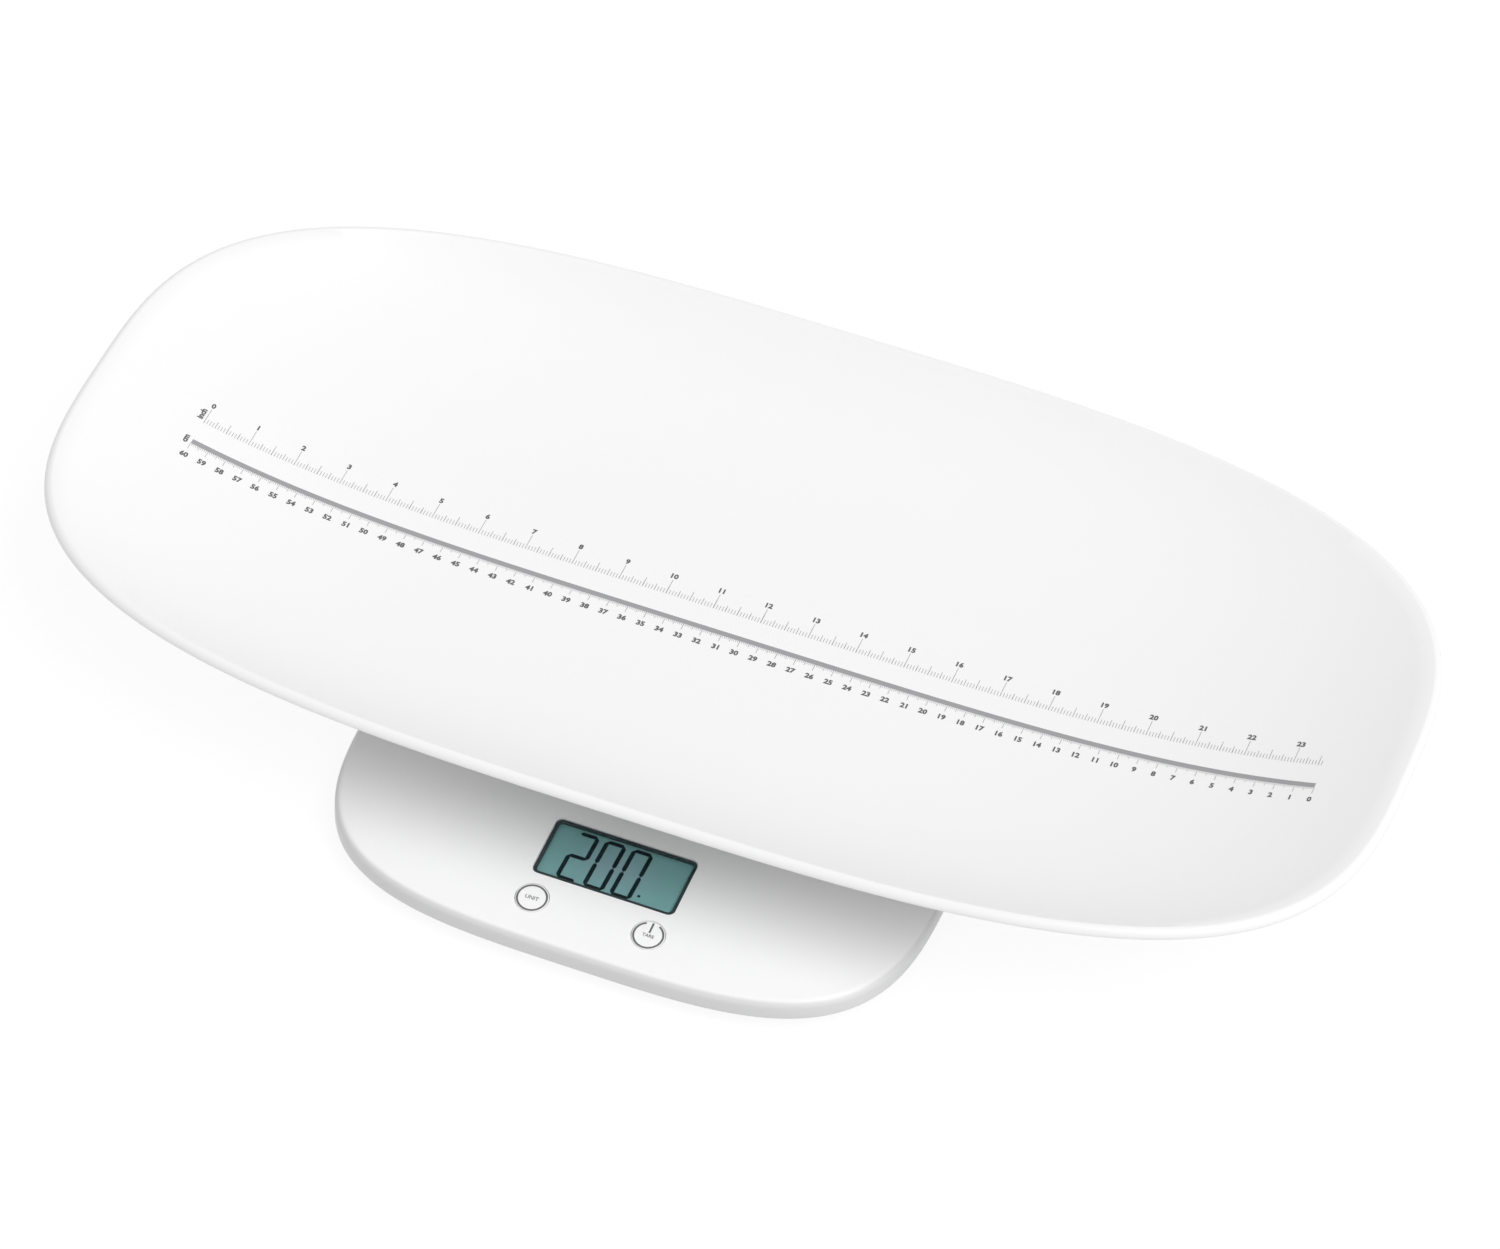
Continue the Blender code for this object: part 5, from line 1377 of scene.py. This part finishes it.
class AddScrews(bpy.types.Operator):
    """Build the six screws of the housing, with cross recesses"""

    bl_idname = "baby_scale.add_screws"
    bl_label = "Housing screws"

    def execute(self, context):
        under = context.scene.scale_underside
        places = places_of("housing_screw", range(1, under.screws + 1))
        first = self.screw(under, places[1])
        steel = polished("screw_steel", (0.62, 0.63, 0.65), 0.3, 0.1, 0.05, 3000, 0.004)
        for count, screw in spread(first, "pan_screw", places):
            name = f"housing_screw_{count}"
            ready(screw, "base", steel, "steel")
            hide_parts(name)
        return {"FINISHED"}

    def screw(self, under, place):
        """A pan head, a threaded shank and a cross recess."""
        low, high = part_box("housing_screw_1")
        radius = (high.x - low.x) / 2
        seat = low.z + under.screw_head
        head = ((0.5, 0.08), (0.8, 0.3), (0.96, 0.8), (1.0, 1.3))
        outline = [(0.4 * MM, low.z)]
        outline += [(radius * share, low.z + rise * MM) for share, rise in head]
        outline += [(radius, seat), (under.screw_radius, seat)]
        pitch = 1.0 * MM
        for step in range(int((high.z - seat) / pitch) - 1):
            base = seat + (0.4 + step) * pitch
            outline += [
                (under.screw_radius * 0.78, base),
                (under.screw_radius, base + pitch * 0.4),
                (under.screw_radius * 0.78, base + pitch * 0.8),
            ]
        outline += [(under.screw_radius * 0.7, high.z - 0.8 * MM), (0.3 * MM, high.z)]
        screw = turned("pan_screw_1", outline, 32, place)
        long, wide, deep = 3.4 * MM, 0.7 * MM, 1.1 * MM
        for size in ((wide, long), (long, wide)):
            joined(screw, block("cross", size, low.z - MM, low.z + deep, place), "DIFFERENCE")
        return screw


class AddBatteries(bpy.types.Operator):
    """Build the three cells, with their wraps, caps and springs"""

    bl_idname = "baby_scale.add_batteries"
    bl_label = "Batteries"

    def execute(self, context):
        wrap = finish("cell_wrap", (0.03, 0.05, 0.11), 0.28, change=0.1, depth=0.002)
        band = finish("cell_band", (0.62, 0.3, 0.12), 0.3, change=0.06, depth=0.002, metal=0.7)
        steel = polished("cell_cap", (0.7, 0.7, 0.69), 0.25, 0.1, 0.04, 2500, 0.002)
        wire = polished("spring_wire", (0.66, 0.66, 0.65), 0.3, 0.06, 0.06, 4000, 0.003)
        for count in (1, 2, 3):
            self.add_cell(count, wrap, band, steel)
            self.add_spring(context.scene.scale_underside, count, wire)
        return {"FINISHED"}

    def add_cell(self, count, wrap, band, steel):
        """A cell that lies along X, with its raised cap on the side away from the spring."""
        low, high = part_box(f"battery_{count}")
        middle = (low + high) / 2
        radius, long = (high.z - low.z) / 2, high.x - low.x
        edge, body = 0.6 * MM, long - 1.0 * MM
        wrap_outline = [
            (3.4 * MM, 0.1 * MM),
            (3.6 * MM, 0),
            *arc(radius - edge, edge, edge, -90, 0),
            *arc(radius - edge, body - edge, edge, 0, 90),
            (3.2 * MM, body),
            (3.0 * MM, body - 0.1 * MM),
        ]
        inner, outer = radius - 0.2 * MM, radius + 0.03 * MM
        start, end = body * 0.74, body - edge
        tube = [(inner, start), (outer, start), (outer, end), (inner, end)]
        nub, bend = 1.9 * MM, 0.3 * MM
        cap_outline = [
            (2.0 * MM, 0.05 * MM),
            (3.3 * MM, 0.05 * MM),
            (3.3 * MM, body + 0.02 * MM),
            (nub, body + 0.05 * MM),
            *arc(nub - bend, long - bend, bend, 0, 90, 3),
            (0.4 * MM, long),
        ]
        spring_right = node_middle(f"battery_spring_{count}").x > middle.x
        lay = Matrix.Rotation(-math.pi / 2 if spring_right else math.pi / 2, 4, "Y")
        place = Matrix.Translation((high.x if spring_right else low.x, middle.y, middle.z))
        for kind, outline, sides, ring, look, slot in (
            ("wrap", wrap_outline, 64, False, wrap, "battery_wrap"),
            ("band", tube, 64, True, band, "battery_wrap"),
            ("cap", cap_outline, 48, False, steel, "steel"),
        ):
            piece = turned(f"cell_{kind}_{count}", outline, sides, ring=ring)
            ready(settled(piece, place @ lay), "base", look, slot)
        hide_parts(f"battery_{count}")

    def add_spring(self, under, count, look):
        """A wire coil between its contact plate and the cell's flat end."""
        low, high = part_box(f"battery_spring_{count}")
        wire = under.wire_radius
        coil = (high.z - low.z) / 2 - wire
        length = high.x - low.x - 2 * wire
        bpy.ops.object.select_all(action="DESELECT")
        bpy.ops.mesh.primitive_circle_add(
            vertices=12, radius=wire, location=(coil, 0, 0), rotation=(math.pi / 2, 0, 0)
        )
        spring = settled(added(f"coil_spring_{count}"))
        modified(
            spring,
            "SCREW",
            axis="Z",
            angle=2 * math.pi * under.spring_turns,
            steps=36 * under.spring_turns,
            render_steps=36 * under.spring_turns,
            screw_offset=length,
            use_normal_calculate=True,
        )
        bpy.ops.object.mode_set(mode="EDIT")
        bpy.ops.mesh.select_all(action="SELECT")
        bpy.ops.mesh.fill_holes(sides=0)
        bpy.ops.object.mode_set(mode="OBJECT")
        for vert in spring.data.vertices:
            shrink = 1 - 0.22 * max(0.0, min(1.0, vert.co.z / length))
            vert.co.x *= shrink
            vert.co.y *= shrink
        outward(spring)
        middle = (low + high) / 2
        right = middle.x > 0
        lay = Matrix.Rotation(-math.pi / 2 if right else math.pi / 2, 4, "Y")
        place = Matrix.Translation((high.x - wire if right else low.x + wire, middle.y, middle.z))
        settled(spring, place @ lay)
        ready(spring, "base", look, "steel", angle=60)
        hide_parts(f"battery_spring_{count}")


class DressInside(bpy.types.Operator):
    """Give the plates, brackets, board and leads inside the base their own finishes"""

    bl_idname = "baby_scale.dress_inside"
    bl_label = "Inner pieces"

    def execute(self, context):
        looks = {slot: finish(*settings) for slot, settings in INNER_LOOKS.items()}
        for node, slot in SLOTS.items():
            if slot in looks:
                piece = frame["nodes"][node]
                piece.data.materials.clear()
                piece.data.materials.append(looks[slot])
        return {"FINISHED"}


class AddStage(bpy.types.Operator):
    """Add the floor, the light and the camera of the photograph"""

    bl_idname = "baby_scale.add_stage"
    bl_label = "Stage"

    def execute(self, context):
        sizes = context.scene.scale_stage
        self.add_floor(sizes)
        self.add_camera(context.scene, sizes)
        self.light_world(context.scene, sizes)
        turn = (math.radians(sizes.sun_tilt), math.radians(sizes.sun_lean), 0)
        bpy.ops.object.light_add(type="SUN", rotation=turn)
        sun = added("key_light")
        sun.data.energy = sizes.sun
        sun.data.angle = math.radians(sizes.sun_width)
        context.scene.view_settings.view_transform = "Standard"
        return {"FINISHED"}

    def add_floor(self, sizes):
        """A floor that shows white with a trace of shadow, and lights the pieces as pale paint."""
        bpy.ops.object.select_all(action="DESELECT")
        bpy.ops.mesh.primitive_plane_add(size=sizes.floor_size, location=(0, 0, -0.01 * MM))
        floor = settled(added("floor"))
        look, nodes, links, shader = node_tree("pale_floor")
        nodes.remove(shader)
        paint = nodes.new("ShaderNodeBsdfDiffuse")
        paint.inputs["Color"].default_value = (0.8, 0.8, 0.8, 1)
        bright = nodes.new("ShaderNodeEmission")
        bright.inputs["Strength"].default_value = 0.9
        mixed = nodes.new("ShaderNodeAddShader")
        pale = nodes.new("ShaderNodeBsdfDiffuse")
        pale.inputs["Color"].default_value = (0.13, 0.13, 0.13, 1)
        seen = nodes.new("ShaderNodeMixShader")
        links.new(bright.outputs["Emission"], mixed.inputs[0])
        links.new(pale.outputs["BSDF"], mixed.inputs[1])
        links.new(looked_at(nodes, links), seen.inputs["Fac"])
        links.new(paint.outputs["BSDF"], seen.inputs[1])
        links.new(mixed.outputs["Shader"], seen.inputs[2])
        links.new(seen.outputs["Shader"], nodes["Material Output"].inputs["Surface"])
        floor.data.materials.append(look)

    def add_camera(self, scene, sizes):
        turn, climb = math.radians(sizes.azimuth), math.radians(sizes.elevation)
        level = math.cos(climb)
        back = Vector((math.sin(turn) * level, -math.cos(turn) * level, math.sin(climb)))
        target = Vector((TRAY_MIDDLE.x, TRAY_MIDDLE.y, sizes.target_height))
        bpy.ops.object.camera_add(location=target + back * sizes.distance)
        camera = added("photo_camera")
        camera.rotation_mode = "QUATERNION"
        roll = Quaternion((0, 0, 1), math.radians(sizes.roll))
        camera.rotation_quaternion = back.to_track_quat("Z", "Y") @ roll
        camera.data.sensor_width = 36.0
        camera.data.lens = sizes.focal_pixels / sizes.photo_width * camera.data.sensor_width
        camera.data.shift_x = sizes.across / sizes.photo_width
        camera.data.shift_y = sizes.down / sizes.photo_width
        camera.data.clip_end = 100.0
        scene.camera = camera

    def light_world(self, scene, sizes):
        """Even light from all round, and white where the world itself is seen."""
        world = bpy.data.worlds.new("studio_world")
        world.use_nodes = True
        nodes, links = world.node_tree.nodes, world.node_tree.links
        ambient = nodes["Background"]
        ambient.inputs["Color"].default_value = (1, 1, 1, 1)
        ambient.inputs["Strength"].default_value = sizes.sky
        white = nodes.new("ShaderNodeBackground")
        white.inputs["Color"].default_value = (1, 1, 1, 1)
        mixed = nodes.new("ShaderNodeMixShader")
        links.new(looked_at(nodes, links), mixed.inputs["Fac"])
        links.new(ambient.outputs["Background"], mixed.inputs[1])
        links.new(white.outputs["Background"], mixed.inputs[2])
        links.new(mixed.outputs["Shader"], nodes["World Output"].inputs["Surface"])
        scene.world = world


def looked_at(nodes, links):
    """1 where the camera sees a surface directly, in a gloss or through glass, and otherwise 0."""
    path = nodes.new("ShaderNodeLightPath")
    seen = path.outputs["Is Camera Ray"]
    for ray in ("Is Glossy Ray", "Is Transmission Ray"):
        either = nodes.new("ShaderNodeMath")
        either.operation = "MAXIMUM"
        links.new(seen, either.inputs[0])
        links.new(path.outputs[ray], either.inputs[1])
        seen = either.outputs["Value"]
    return seen


class ScalePanel(bpy.types.Panel):
    """Lists the pieces of the scale in the sidebar"""

    bl_idname = "VIEW3D_PT_baby_scale"
    bl_label = "Baby Weighing Scale"
    bl_space_type = "VIEW_3D"
    bl_region_type = "UI"
    bl_category = "Baby Scale"

    def draw(self, context):
        for step in OPERATORS:
            self.layout.operator(step.bl_idname)
        for name, group in GROUPS.items():
            box = self.layout.box()
            box.label(text=group.__name__)
            for setting in group.__annotations__:
                box.prop(getattr(context.scene, name), setting)


GROUPS = {
    "scale_tray": TraySizes,
    "scale_ruler": RulerSizes,
    "scale_base": BaseSizes,
    "scale_display": DisplaySizes,
    "scale_buttons": ButtonSizes,
    "scale_underside": UndersideSizes,
    "scale_stage": StageSizes,
}
OPERATORS = (
    AddStage,
    AddTray,
    AddRuler,
    AddBase,
    AddDisplay,
    AddButtons,
    AddUnderside,
    AddDoor,
    AddFeet,
    AddScrews,
    AddBatteries,
    DressInside,
)


def register():
    for name, group in GROUPS.items():
        bpy.utils.register_class(group)
        setattr(bpy.types.Scene, name, bpy.props.PointerProperty(type=group))
    for step in (*OPERATORS, ScalePanel):
        bpy.utils.register_class(step)


def unregister():
    for step in (ScalePanel, *reversed(OPERATORS)):
        bpy.utils.unregister_class(step)
    for name, group in reversed(GROUPS.items()):
        delattr(bpy.types.Scene, name)
        bpy.utils.unregister_class(group)


def main():
    register()
    for step in OPERATORS:
        getattr(bpy.ops.baby_scale, step.bl_idname.split(".")[1])()


if __name__ == "__main__":
    main()
